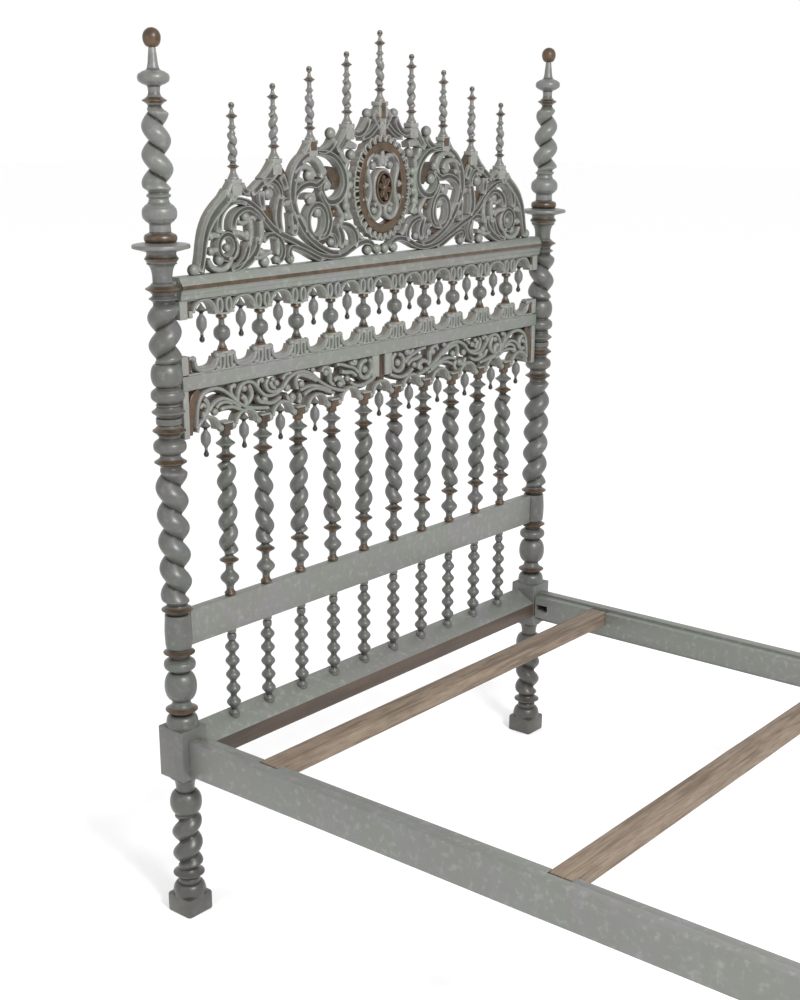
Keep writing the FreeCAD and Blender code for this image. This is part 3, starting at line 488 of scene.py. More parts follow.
@dataclass
class Workpiece:
    """A mesh under work, in millimetres, which becomes one finished piece."""

    name: str
    bm: bmesh.types.BMesh = field(default_factory=blank)
    smoothings: int = 2
    hollow_gain: float = 7.2
    edge_gain: float = 3.2
    edge_start: float = 0.35

    def take(self, part: bmesh.types.BMesh, mirrored: bool = False) -> None:
        """Join a part to the piece.

        Args:
            part: The part, which is used up.
            mirrored: Whether its mirror image joins too.
        """
        mesh = bpy.data.meshes.new(self.name + "_part")
        part.to_mesh(mesh)
        self.bm.from_mesh(mesh)
        if mirrored:
            bmesh.ops.transform(part, matrix=Matrix.Scale(-1, 4, (1, 0, 0)), verts=part.verts)
            bmesh.ops.reverse_faces(part, faces=part.faces)
            part.to_mesh(mesh)
            self.bm.from_mesh(mesh)
        part.free()
        bpy.data.meshes.remove(mesh)

    def shade_relief(self) -> None:
        """Set the recess and edge masks from how hollow or proud the surface is: the recess mask paints
        shade, with some glazing, into hollows, and the edge mask paints highlight, with some wear, on proud
        edges.
        """
        bm = self.bm
        bmesh.ops.recalc_face_normals(bm, faces=bm.faces)
        bm.verts.index_update()
        bm.normal_update()
        count = len(bm.verts)
        points = np.array([vert.co for vert in bm.verts])
        normals = np.array([vert.normal for vert in bm.verts])
        pairs = np.array([(edge.verts[0].index, edge.verts[1].index) for edge in bm.edges])
        degree = np.bincount(pairs.ravel(), minlength=count).clip(1)

        def around(values: np.ndarray) -> np.ndarray:
            """Mean of each point's neighbours."""
            ends = np.concatenate((pairs[:, 0], pairs[:, 1]))
            others = values[np.concatenate((pairs[:, 1], pairs[:, 0]))]
            return np.bincount(ends, weights=others, minlength=count) / degree

        lengths = np.linalg.norm(points[pairs[:, 0]] - points[pairs[:, 1]], axis=1)
        span = np.bincount(pairs.ravel(), weights=np.repeat(lengths, 2), minlength=count) / degree
        middles = np.stack([around(points[:, k]) for k in range(3)], axis=1)
        hollow = ((middles - points) * normals).sum(axis=1) / span.clip(1e-6)
        for _ in range(self.smoothings):
            hollow = 0.5 * hollow + 0.5 * around(hollow)
        recess = (hollow * self.hollow_gain).clip(0, 1)
        proud = (-hollow * self.edge_gain - self.edge_start).clip(0, 1)
        deep, high = layer(bm, Mask.RECESS), layer(bm, Mask.EDGE)
        for vert, low, top in zip(bm.verts, recess, proud):
            vert[deep] = max(vert[deep], float(low))
            vert[high] = float(top)

    def dress(self, material: bpy.types.Material, node: str) -> None:
        """Shade the relief and finish the piece."""
        self.shade_relief()
        self.done(material, node)

    def done(self, material: bpy.types.Material, node: str, body: Body = Body.BED,
             sharp: float = 38.0) -> None:
        """Turn the mesh into a finished piece.

        Args:
            material: Its finish.
            node: Node of the frame that it stands for.
            body: Body that it rides on.
            sharp: Angle in degrees from which an edge stays crisp.
        """
        bm = self.bm
        bmesh.ops.recalc_face_normals(bm, faces=bm.faces)
        limit = math.radians(sharp)
        for face in bm.faces:
            face.smooth = True
        for edge in bm.edges:
            edge.smooth = len(edge.link_faces) == 2 and edge.calc_face_angle(0.0) < limit
        bmesh.ops.transform(bm, matrix=Matrix.Scale(MM, 4), verts=bm.verts)
        mesh = bpy.data.meshes.new(self.name)
        bm.to_mesh(mesh)
        bm.free()
        mesh.materials.append(material)
        piece = bpy.data.objects.new(self.name, mesh)
        bpy.context.scene.collection.objects.link(piece)
        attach(piece, body.value)
        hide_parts(node)
        LOG.info("%s: %d faces", self.name, len(mesh.polygons))


# ------------------------------------------------------------------ turned work


@dataclass(frozen=True)
class Cut:
    """A point of a turner's profile: height, radius, how it is reached and whether it is gilt."""

    z: float
    radius: float
    cutter: Cutter = Cutter.LINE
    gilt: float = 0.0


@dataclass(frozen=True)
class Twist:
    """One stretch of rope twist."""

    bottom: float
    top: float
    crest: float
    valley: float
    pitch: float
    hand: Hand
    taper: float = 1.0
    start: float = FRONT_ANGLE
    fade: float = 0.22

    def radius(self, angle: float, z: float, plain: float) -> float:
        """Distance from the axis at an angle and height.

        Args:
            angle: Direction round the axis.
            z: Height.
            plain: Radius of the plain bar there.

        Returns:
            The carved radius.
        """
        phase = angle - self.start - self.hand.value * math.tau * (z - self.bottom) / self.pitch
        size = 1 + (self.taper - 1) * (z - self.bottom) / (self.top - self.bottom)
        rope = self.valley + (self.crest - self.valley) * abs(math.cos(phase / 2))
        near = min(z - self.bottom, self.top - z) / (self.fade * self.pitch)
        return plain + (rope * size - plain) * Cutter.WAVE.share(max(0.0, min(1.0, near)))


def ball(z: float, half: float, radius: float, neck: float, gilt: float = 0.0) -> list[Cut]:
    """Profile of a ball between two equal necks."""
    return [Cut(z - half, neck), Cut(z, radius, Cutter.SWELL, gilt), Cut(z + half, neck, Cutter.TURN)]


def lens(z: float, half: float, radius: float, neck: float, gilt: float = 0.0) -> list[Cut]:
    """Profile of a lens-shaped bead between two equal necks."""
    return [Cut(z - half, neck), Cut(z, radius, Cutter.WAVE, gilt), Cut(z + half, neck, Cutter.WAVE)]


def bulb(z: float, half: float, radius: float, neck: float) -> list[Cut]:
    """Profile of a plump bead with hollow shoulders between two equal necks."""
    shoulder = neck + 0.68 * (radius - neck)
    return [Cut(z - half, neck), Cut(z - 0.55 * half, shoulder, Cutter.WAVE), Cut(z, radius, Cutter.SWELL),
            Cut(z + 0.55 * half, shoulder, Cutter.TURN), Cut(z + half, neck, Cutter.WAVE)]


def ring(z: float, half: float, radius: float, neck: float, gilt: float = 0.0) -> list[Cut]:
    """Profile of a V-shaped ring with hollow flanks."""
    lip = 0.08 * half
    return [Cut(z - half, neck), Cut(z - lip, radius, Cutter.FLARE, gilt),
            Cut(z + lip, radius, Cutter.LINE, gilt), Cut(z + half, neck, Cutter.SETTLE)]


@dataclass
class Turning:
    """A shape off the lathe, with its twists carved in."""

    x: float
    y: float
    cuts: list[Cut]
    twists: list[Twist] = field(default_factory=list)
    segments: int = 40
    step: float = 3.0

    def samples(self) -> list[Row]:
        """Close points along the profile.

        Returns:
            Height, radius and gilt of each.
        """
        rows = [(self.cuts[0].z, 0.0, self.cuts[0].gilt)]
        if self.cuts[0].radius > 0:
            rows.append((self.cuts[0].z, self.cuts[0].radius, self.cuts[0].gilt))
        for low, high in zip(self.cuts, self.cuts[1:]):
            span = math.hypot(high.z - low.z, high.radius - low.radius)
            pieces = max(1, round(span / self.step))
            if high.cutter is not Cutter.LINE:
                pieces = max(5, pieces)
            for k in range(1, pieces + 1):
                t = k / pieces
                if high.cutter is Cutter.SWELL:
                    t = 1 - math.cos(t * math.pi / 2)
                elif high.cutter is Cutter.TURN:
                    t = math.sin(t * math.pi / 2)
                radius = low.radius + (high.radius - low.radius) * high.cutter.share(t)
                gilt = high.gilt if t > 0.5 else low.gilt
                rows.append((low.z + (high.z - low.z) * t, radius, gilt))
        if rows[-1][1] > 0:
            rows.append((rows[-1][0], 0.0, rows[-1][2]))
        return rows

    def add_to(self, work: Workpiece) -> None:
        """Turn the shape and carve its twists.

        Args:
            work: The piece that it becomes part of.
        """
        bm, gilt_at, points = blank(), {}, []
        for z, radius, gilt in self.samples():
            points.append(bm.verts.new((self.x + radius, self.y, z)))
            gilt_at[round(z, 2)] = max(gilt, gilt_at.get(round(z, 2), 0.0))
        lines = [bm.edges.new(pair) for pair in zip(points, points[1:])]
        bmesh.ops.spin(bm, geom=points + lines, cent=(self.x, self.y, 0), axis=(0, 0, 1), angle=math.tau,
                       steps=self.segments, use_merge=True)
        bmesh.ops.remove_doubles(bm, verts=bm.verts, dist=1e-3)
        key = layer(bm, Mask.GILT)
        for vert in bm.verts:
            z = vert.co.z
            vert[key] = gilt_at.get(round(z, 2), 0.0)
            dx, dy = vert.co.x - self.x, vert.co.y - self.y
            plain = math.hypot(dx, dy)
            for twist in self.twists:
                if twist.bottom < z < twist.top and plain > 0:
                    size = twist.radius(math.atan2(dy, dx), z, plain) / plain
                    vert.co.x = self.x + dx * size
                    vert.co.y = self.y + dy * size
        work.take(bm)


def block(work: Workpiece, x: float, y: float, low: float, high: float, half: float, corner: float,
          rim: float) -> None:
    """Square block with bevelled edges.

    Args:
        work: The piece that it becomes part of.
        x: Middle across the bed.
        y: Middle along the bed.
        low: Bottom.
        high: Top.
        half: Half its width.
        corner: Bevel of the upright edges.
        rim: Bevel of the level edges.
    """
    bm = blank()
    size = Matrix.Diagonal((2 * half, 2 * half, high - low, 1))
    bmesh.ops.create_cube(bm, size=1.0, matrix=Matrix.Translation((x, y, (low + high) / 2)) @ size)
    bevel(bm, [edge for edge in bm.edges if abs(edge.verts[0].co.z - edge.verts[1].co.z) > 1], corner)
    bevel(bm, [edge for edge in bm.edges if edge.calc_face_angle(0.0) > 1.2], rim)
    work.take(bm)


@dataclass
class Post:
    """A post of the bed from its foot to the seat of its disc."""

    side: int
    y: float
    word: str
    foot_half: float = 37.5
    block_half: float = 38.0
    crest: float = 34.6
    valley: float = 17.5
    long_pitch: float = 60.0
    short_pitch: float = 57.0
    leg_pitch: float = 54.0

    def hand(self) -> Hand:
        """Twist of this side's posts."""
        return Hand.RIGHT if self.side < 0 else Hand.LEFT

    def twist(self, low: float, high: float, pitch: float, hand: Hand) -> Twist:
        """A stretch of this post's rope."""
        return Twist(low, high, self.crest, self.valley, pitch, hand)

    def leg(self) -> list[Cut]:
        """Profile from the foot to the rail block."""
        return [Cut(40, 37), Cut(50, 38), Cut(74, 26, Cutter.TURN), Cut(84, 24.6), *ring(98.5, 12, 36, 23),
                Cut(114, 24), Cut(247, 22), *ball(278, 28, 36.4, 21), Cut(312, 21),
                Cut(340, 32, Cutter.TURN), Cut(345, 36.5), Cut(351, 37)]

    def over_block(self) -> list[Cut]:
        """Profile from the rail block to the next plain stretch."""
        return [Cut(460, 36), Cut(467, 37), Cut(477, 35.5), Cut(494, 24.5, Cutter.TURN),
                *ring(506.2, 12, 36, 22, 1), *ball(561.8, 33, 36, 19), *bulb(612.7, 17, 35.4, 20)]

    def build(self, material: bpy.types.Material) -> None:
        """Make the post.

        Args:
            material: Its paint.
        """
        x, hand = self.side * POST_X, self.hand()
        kind = "head_post" if self.y > 0 else "foot_post"
        work = Workpiece("%s_turning_%s" % (kind, self.word))
        block(work, x, self.y, 0, 46, self.foot_half, 7, 4)
        block(work, x, self.y, 347, 467, self.block_half, 1.2, 3)
        leg_twist = self.twist(114, 249, self.leg_pitch, hand)
        Turning(x, self.y, self.leg(), [leg_twist], 48).add_to(work)
        if self.y > 0:
            self.tall(work, x, hand)
        else:
            rows = self.over_block() + [Cut(FOOT_DISC_SEAT - 0.1, 30)]
            Turning(x, self.y, rows, [], 48).add_to(work)
        work.dress(material, "%s_%s" % (kind, self.word))

    def tall(self, work: Workpiece, x: float, hand: Hand) -> None:
        """Add the head post over its block.

        Args:
            work: The post under work.
            x: Its place across the bed.
            hand: Twist of its leg.
        """
        long_twist = self.twist(752, 1058, self.long_pitch, hand.other())
        short_twist = self.twist(1277, 1402, self.short_pitch, hand)
        rows = self.over_block()
        rows += ring(641.4, 11, 34.8, 22, 1)
        rows += [Cut(653, 28), Cut(693, 30.4, Cutter.SWELL), Cut(729, 28), *ring(741, 11, 34.5, 22, 1)]
        rows += [Cut(754, 23), Cut(1057, 22)]
        rows += ring(1069.4, 11, 34.5, 22, 1) + bulb(1103, 18, 35.2, 22) + ring(1136.5, 13, 35, 23, 1)
        rows += [Cut(1151, 27, Cutter.WAVE), Cut(1163, 27), *ring(1176, 12, 35, 24), Cut(1190, 26)]
        rows += bulb(1211, 17, 35.4, 23) + ball(1253, 24, 33.5, 22)
        rows += [Cut(1278, 23), Cut(1402, 22), *ring(1409, 7, 30, 22), *ring(1429, 11, 36, 23, 1)]
        rows += [Cut(1441, 20.5, Cutter.WAVE), Cut(1450, 20.5), Cut(1479, 32, Cutter.TURN)]
        rows += ring(1489, 9, 35, 30, 1) + [Cut(HEAD_DISC_SEAT - 0.2, 31)]
        Turning(x, self.y, rows, [long_twist, short_twist], 56, 2.6).add_to(work)


@dataclass
class PostTop:
    """Disc, twisted finial and ball on a head post, or disc and ball on a foot post."""

    side: int
    word: str
    disc_radius: float = 59.4

    def disc_rows(self, bottom: float) -> list[Cut]:
        """Profile of the wide disc."""
        return [Cut(bottom, 33), Cut(bottom + 6, 55), Cut(bottom + 8.5, self.disc_radius, Cutter.SWELL),
                Cut(bottom + 12.5, 59), Cut(bottom + 15, 54, Cutter.TURN), Cut(bottom + 18, 34)]

    def finial_rows(self, base: float) -> list[Cut]:
        """Profile of the finial over the disc.

        Args:
            base: Height of its seat.

        Returns:
            The profile's points.
        """
        return [Cut(base, 28, gilt=1), Cut(base + 8.5, 33.8, Cutter.SWELL, 1),
                Cut(base + 17, 28, Cutter.TURN, 1), Cut(base + 20, 22), *bulb(base + 57, 22, 35.4, 21.5),
                Cut(base + 84, 20), *lens(base + 91, 6, 25, 20), Cut(base + 98, 20), Cut(base + 256, 15),
                *ring(base + 271, 10, 24.6, 13, 0.8), Cut(base + 284, 11.7), Cut(base + 290, 11.7),
                *bulb(base + 313, 16.5, 31.7, 12.5), Cut(base + 345, 9.5, Cutter.SETTLE),
                Cut(base + 368.9, 7)]

    def head_ball_rows(self, base: float) -> list[Cut]:
        """Profile of the finial's ball."""
        return [Cut(base, 7), Cut(base + 18, 17.8, Cutter.SWELL), Cut(base + 36, 0, Cutter.TURN)]

    def foot_ball_rows(self, base: float) -> list[Cut]:
        """Profile of a foot post's ball on its collar."""
        return [Cut(base, 23), Cut(base + 6, 22), Cut(base + 10, 11, Cutter.SWELL), Cut(base + 13, 9),
                Cut(base + 34, 20, Cutter.SWELL), Cut(base + 54, 0, Cutter.TURN)]

    def disc(self, name: str, y: float, seat: float, paint: bpy.types.Material, node: str) -> None:
        """Make one disc.

        Args:
            name: The piece's name, without its side.
            y: Its place along the bed.
            seat: Height of its underside.
            paint: Its finish.
            node: The node that it stands for, without its side.
        """
        work = Workpiece(name + self.word)
        Turning(self.side * POST_X, y, self.disc_rows(seat), [], 72, 2.5).add_to(work)
        work.dress(paint, node + self.word)

    def gilt_ball(self, name: str, y: float, rows: list[Cut], gilt: bpy.types.Material, node: str) -> None:
        """Make one gilt ball.

        Args:
            name: The piece's name, without its side.
            y: Its place along the bed.
            rows: Its profile.
            gilt: Its finish.
            node: The node that it stands for, without its side.
        """
        work = Workpiece(name + self.word)
        Turning(self.side * POST_X, y, rows, [], 40, 2).add_to(work)
        work.dress(gilt, node + self.word)

    def build(self, paint: bpy.types.Material, gilt: bpy.types.Material) -> None:
        """Make all the pieces on this side.

        Args:
            paint: Finish of the discs and the finial.
            gilt: Finish of the balls.
        """
        self.disc("head_disc_turning_", HEAD_Y, HEAD_DISC_SEAT, paint, "finial_disc_")
        self.disc("foot_disc_turning_", -HEAD_Y, FOOT_DISC_SEAT, paint, "foot_disc_")
        hand = Hand.LEFT if self.side < 0 else Hand.RIGHT
        twist = Twist(FINIAL_SEAT + 96, FINIAL_SEAT + 258, 33.5, 14.5, 54, hand, 0.8)
        work = Workpiece("finial_turning_" + self.word)
        Turning(self.side * POST_X, HEAD_Y, self.finial_rows(FINIAL_SEAT), [twist], 52, 2.5).add_to(work)
        work.dress(paint, "finial_" + self.word)
        head_rows, foot_rows = self.head_ball_rows(FINIAL_BALL_SEAT), self.foot_ball_rows(FOOT_BALL_SEAT)
        self.gilt_ball("finial_gilt_ball_", HEAD_Y, head_rows, gilt, "finial_ball_")
        self.gilt_ball("foot_gilt_ball_", -HEAD_Y, foot_rows, gilt, "foot_ball_")


def centres(count: int) -> list[float]:
    """Places of a row, centred across the bed."""
    return [(k - (count - 1) / 2) * SPACING for k in range(count)]


@dataclass
class Spindles:
    """The headboard's rows of spindles, balusters and drops."""

    count: int = 10
    lost: int = 4
    beads: int = 5
    bead_pitch: float = 34.0
    turn_on: float = 0.4

    def long_rows(self) -> list[Cut]:
        """Profile of a long spindle."""
        return [Cut(731, 12, gilt=1), Cut(737, 13.4, gilt=1), Cut(745, 8.6, Cutter.WAVE, 1),
                *lens(773, 21, 21.4, 8.6), *ring(815, 12, 21.6, 8.6, 0.8), Cut(830, 10), Cut(1038, 10),
                *ring(1052, 11, 21.4, 8.6, 0.8), *ring(1082, 13, 21.4, 8.4), Cut(1097, 8.4),
                Cut(1100, 12.2, Cutter.TURN, 1), Cut(1110.8, 12.2, gilt=1)]

    def bobbin_rows(self) -> list[Cut]:
        """Profile of a row of beads, from inside the sloping rail."""
        rows = [Cut(436, 13.2), Cut(446, 12.8)]
        for k in range(self.beads):
            bead = lens(470.5 + self.bead_pitch * k, self.bead_pitch / 2, 16.7, 7)
            rows += bead[1:] if k else bead
        return rows + [Cut(634, 11, Cutter.SWELL), Cut(640, 8, Cutter.TURN), Cut(644, 11), Cut(651, 11)]

    def baluster_rows(self) -> list[Cut]:
        """Profile of a gallery baluster."""
        return [Cut(1284, 12, gilt=1), Cut(1287, 12, gilt=1), Cut(1289, 9.5, gilt=1),
                Cut(1291, 10.5, gilt=0.6), Cut(1301, 6.2, Cutter.SETTLE), *bulb(1322, 19, 18.2, 6.4),
                Cut(1350, 6.2), Cut(1355, 12, Cutter.FLARE, 1), Cut(1359, 12, gilt=1), Cut(1362, 10, gilt=1)]

    def drop_rows(self, top: float) -> list[Cut]:
        """Profile of a hanging drop."""
        return [Cut(top - 82, 0), Cut(top - 76, 5.8, Cutter.SWELL, 1), Cut(top - 70, 3.6, Cutter.TURN, 1),
                Cut(top - 62, 3.2), *bulb(top - 41, 19, 11.3, 4.2), Cut(top - 19, 4.4, gilt=1),
                Cut(top - 14.5, 11, gilt=1), Cut(top - 12.5, 11, gilt=0.4), Cut(top, 2, Cutter.SETTLE)]

    def build(self, paint: bpy.types.Material, tip: bpy.types.Material) -> None:
        """Make every spindle.

        Args:
            paint: Finish of the spindles and balusters.
            tip: Finish of the drops.
        """
        for k, x in enumerate(centres(self.count)):
            work = Workpiece("long_spindle_turning_%d" % (k + 1))
            hand = Hand.LEFT if k % 2 else Hand.RIGHT
            twist = Twist(826, 1041, 22.0, 9.8, 46.4, hand, start=FRONT_ANGLE + self.turn_on * k)
            Turning(x, PANEL_Y, self.long_rows(), [twist], 32, 2.6).add_to(work)
            work.dress(paint, "long_spindle_%d" % (k + 1))
        row, drops = centres(self.count), centres(self.count + 1)
        kept = [x for k, x in enumerate(drops) if k != self.lost]
        bobbin = Turning(0, PANEL_Y, self.bobbin_rows(), [], 26)
        baluster = Turning(0, PANEL_Y, self.baluster_rows(), [], 24)
        gallery_drop = Turning(0, PANEL_Y, self.drop_rows(VALANCE_DROP_TOP), [], 18, 2.5)
        frieze_drop = Turning(0, PANEL_Y, self.drop_rows(FRIEZE_DROP_TOP), [], 18, 2.5)
        self.group("bobbin_turnings", bobbin, row, paint, "bobbin_spindles")
        self.group("baluster_turnings", baluster, row, paint, "gallery_balusters")
        self.group("gallery_drops", gallery_drop, drops, tip, "gallery_pendants")
        self.group("frieze_drops", frieze_drop, kept, tip, "frieze_pendants")

    def group(self, name: str, pattern: Turning, places: Sequence[float], material: bpy.types.Material,
              node: str) -> None:
        """Make one row of equal turnings as one piece.

        Args:
            name: The piece's name.
            pattern: The turning that repeats.
            places: Where each stands across the bed.
            material: Their finish.
            node: The node that they stand for.
        """
        work = Workpiece(name)
        for x in places:
            replace(pattern, x=x).add_to(work)
        work.dress(material, node)


# ------------------------------------------------------------------ carved work


def curve(*numbers: float, step: float = 6.0) -> list[Row]:
    """Smooth middle line through points.

    Args:
        numbers: x, height and width of each point in turn.
        step: About the length of one facet.

    Returns:
        Rows of x, height and width.
    """
    points = [Vector(numbers[k:k + 3]) for k in range(0, len(numbers), 3)]
    ends = [points[0] * 2 - points[1], *points, points[-1] * 2 - points[-2]]
    rows = [tuple(points[0])]
    for before, start, stop, after in zip(ends, ends[1:], ends[2:], ends[3:]):
        pieces = max(2, round((stop - start).xy.length / step))
        for k in range(1, pieces + 1):
            t = k / pieces
            place = (start * 2 + (stop - before) * t + (before * 2 - start * 5 + stop * 4 - after) * t ** 2
                     + (start * 3 - before - stop * 3 + after) * t ** 3) / 2
            rows.append((place.x, place.y, max(LEAST_BAND, place.z)))
    return rows


def oval(x: float, z: float, wide: float, tall: float, width: float, count: int = 28) -> list[Row]:
    """Closed oval, as rows of x, height and width."""
    turns = [k / count * math.tau for k in range(count + 1)]
    return [(x + wide * math.cos(turn), z + tall * math.sin(turn), width) for turn in turns]


class Section(Enum):
    """Cross-sections of carved bands, as points of (across, depth behind the front)."""

    FLUTE = ((-0.5, 4.0), (-0.47, 1.2), (-0.41, 0.0), (-0.33, 0.3), (-0.22, 1.7), (0.22, 1.7), (0.33, 0.3),
             (0.41, 0.0), (0.47, 1.2), (0.5, 4.0))
    ROLL = ((-0.5, 6.0), (-0.4, 2.2), (-0.2, 0.4), (0.0, 0.0), (0.2, 0.4), (0.4, 2.2), (0.5, 6.0))
    FLAT = ((-0.5, 1.0), (-0.44, 0.0), (0.44, 0.0), (0.5, 1.0))


@dataclass
class Carving:
    """Pierced scrollwork from one board: bands with rolled edges, balls and blocks."""

    work: Workpiece
    base: float
    front: float
    back: float
    mirrored: bool = True
    # Strength of the painted shade on walls deeper behind the front.
    painted_shade: float = 0.8
    # Painted shade on the back faces.
    back_painted_shade: float = 0.25

    def band(self, rows: Sequence[Row], section: Section = Section.FLUTE, sunk: float = 0.0,
             gilt: float = 0.0, closed: bool = False, recess: float = 0.0) -> None:
        """Carve a band along its middle line.

        Args:
            rows: x, height over the base and width along it.
            section: Cross-section.
            sunk: How far its face lies behind the board's front.
            gilt: Gilding.
            closed: Whether it runs back into itself.
            recess: Painted shade on its face.
        """
        bm = blank()
        face = self.front + sunk
        frames = self._frames(rows, face, closed)
        thick = (self.back - face) / min(1.0, rows[0][2] / DEEP_BAND)
        outline = [(-0.5, thick), *section.value, (0.5, thick)]
        corners = [bm.verts.new(frames[0] @ Vector((u, v, 0))) for u, v in outline]
        loop = [bm.edges.new(pair) for pair in zip(corners, corners[1:] + corners[:1])]
        first = loop
        for before, after in zip(frames, frames[1:]):
            made = bmesh.ops.extrude_edge_only(bm, edges=loop)["geom"]
            moved = [item for item in made if isinstance(item, bmesh.types.BMVert)]
            loop = [item for item in made if isinstance(item, bmesh.types.BMEdge)]
            bmesh.ops.transform(bm, matrix=after @ before.inverted(), verts=moved)
            for vert in moved:
                if vert.co.y > face + FACE_DEPTH:
                    vert.co.y = self.back
        if closed:
            bmesh.ops.remove_doubles(bm, verts=bm.verts, dist=0.05)
        else:
            bmesh.ops.edgeloop_fill(bm, edges=first)
            bmesh.ops.edgeloop_fill(bm, edges=loop)
        self._place(bm, gilt, recess)

    def _frames(self, rows: Sequence[Row], face: float, closed: bool) -> list[Matrix]:
        """Places of a band's cross-section along it.

        Args:
            rows: x, height over the base and width along it.
            face: Depth of its front.
            closed: Whether it runs back into itself.

        Returns:
            One matrix for each row.
        """
        frames = []
        for k, (x, z, width) in enumerate(rows):
            before = rows[k - 1] if k else (rows[-2] if closed else rows[0])
            after = rows[k + 1] if k + 1 < len(rows) else (rows[1] if closed else rows[-1])
            along = Vector((after[0] - before[0], 0, after[1] - before[1])).normalized()
            across = Vector((-along.z, 0, along.x))
            deep = Vector((0, min(1.0, width / DEEP_BAND), 0))
            columns = (across * width, deep, along, Vector((x, face, self.base + z)))
            frames.append(Matrix([[c[i] for c in columns] for i in range(3)] + [[0, 0, 0, 1]]))
        return frames

    def _place(self, bm: bmesh.types.BMesh, gilt: float, recess: float, single: bool = False) -> None:
        """Mark a finished stroke, with painted shade that deepens towards the back, and join it to the
        piece.

        Args:
            bm: The stroke, which is used up.
            gilt: Gilding.
            recess: Painted shade on its face.
            single: Whether it stays without a mirror image.
        """
        gilded, deep = layer(bm, Mask.GILT), layer(bm, Mask.RECESS)
        for vert in bm.verts:
            y = vert.co.y
            share = Cutter.WAVE.share(max(0.0, min(1.0, (y - self.front - 1) / 16)))
            vert[gilded] = gilt
            # Walls deeper behind the front get painted shade, and back faces a fixed, weaker painted shade.
            vert[deep] = self.back_painted_shade if y > self.back - 4 else max(recess, self.painted_shade * share)
        self.work.take(bm, self.mirrored and not single)

    def ball(self, x: float, z: float, radius: float, gilt: float = 0.0, sunk: float = 0.0) -> None:
        """Carve a ball or volute eye that fills the board's thickness.

        Args:
            x: Middle across the bed.
            z: Middle over the base.
            radius: Its radius.
            gilt: Gilding.
            sunk: How far it lies behind the board's front.
        """
        bm = blank()
        depth = min(1.0, (self.back - self.front) / 2 / radius)
        place = Matrix.Translation((x, self.front + radius * depth + sunk, self.base + z))
        place = place @ Matrix.Diagonal((1, depth, 1, 1)) @ Matrix.Rotation(math.pi / 2, 4, "X")
        bmesh.ops.create_uvsphere(bm, u_segments=18, v_segments=11, radius=radius, matrix=place)
        self._place(bm, gilt, 0.0, x == 0)

    def slab(self, x: float, low: float, high: float, half: float, front: float, back: float,
             gilt: float = 0.0, corner: float = 1.5) -> None:
        """Add a small bevelled block.

        Args:
            x: Middle across the bed.
            low: Bottom over the base.
            high: Top over the base.
            half: Half its width.
            front: Front face.
            back: Back face.
            gilt: Gilding.
            corner: Bevel of its edges.
        """
        bm = blank()
        middle = (x, (front + back) / 2, self.base + (low + high) / 2)
        place = Matrix.Translation(middle) @ Matrix.Diagonal((2 * half, back - front, high - low, 1))
        bmesh.ops.create_cube(bm, size=1.0, matrix=place)
        bevel(bm, bm.edges[:], corner)
        self._place(bm, gilt, 0.0, x == 0)


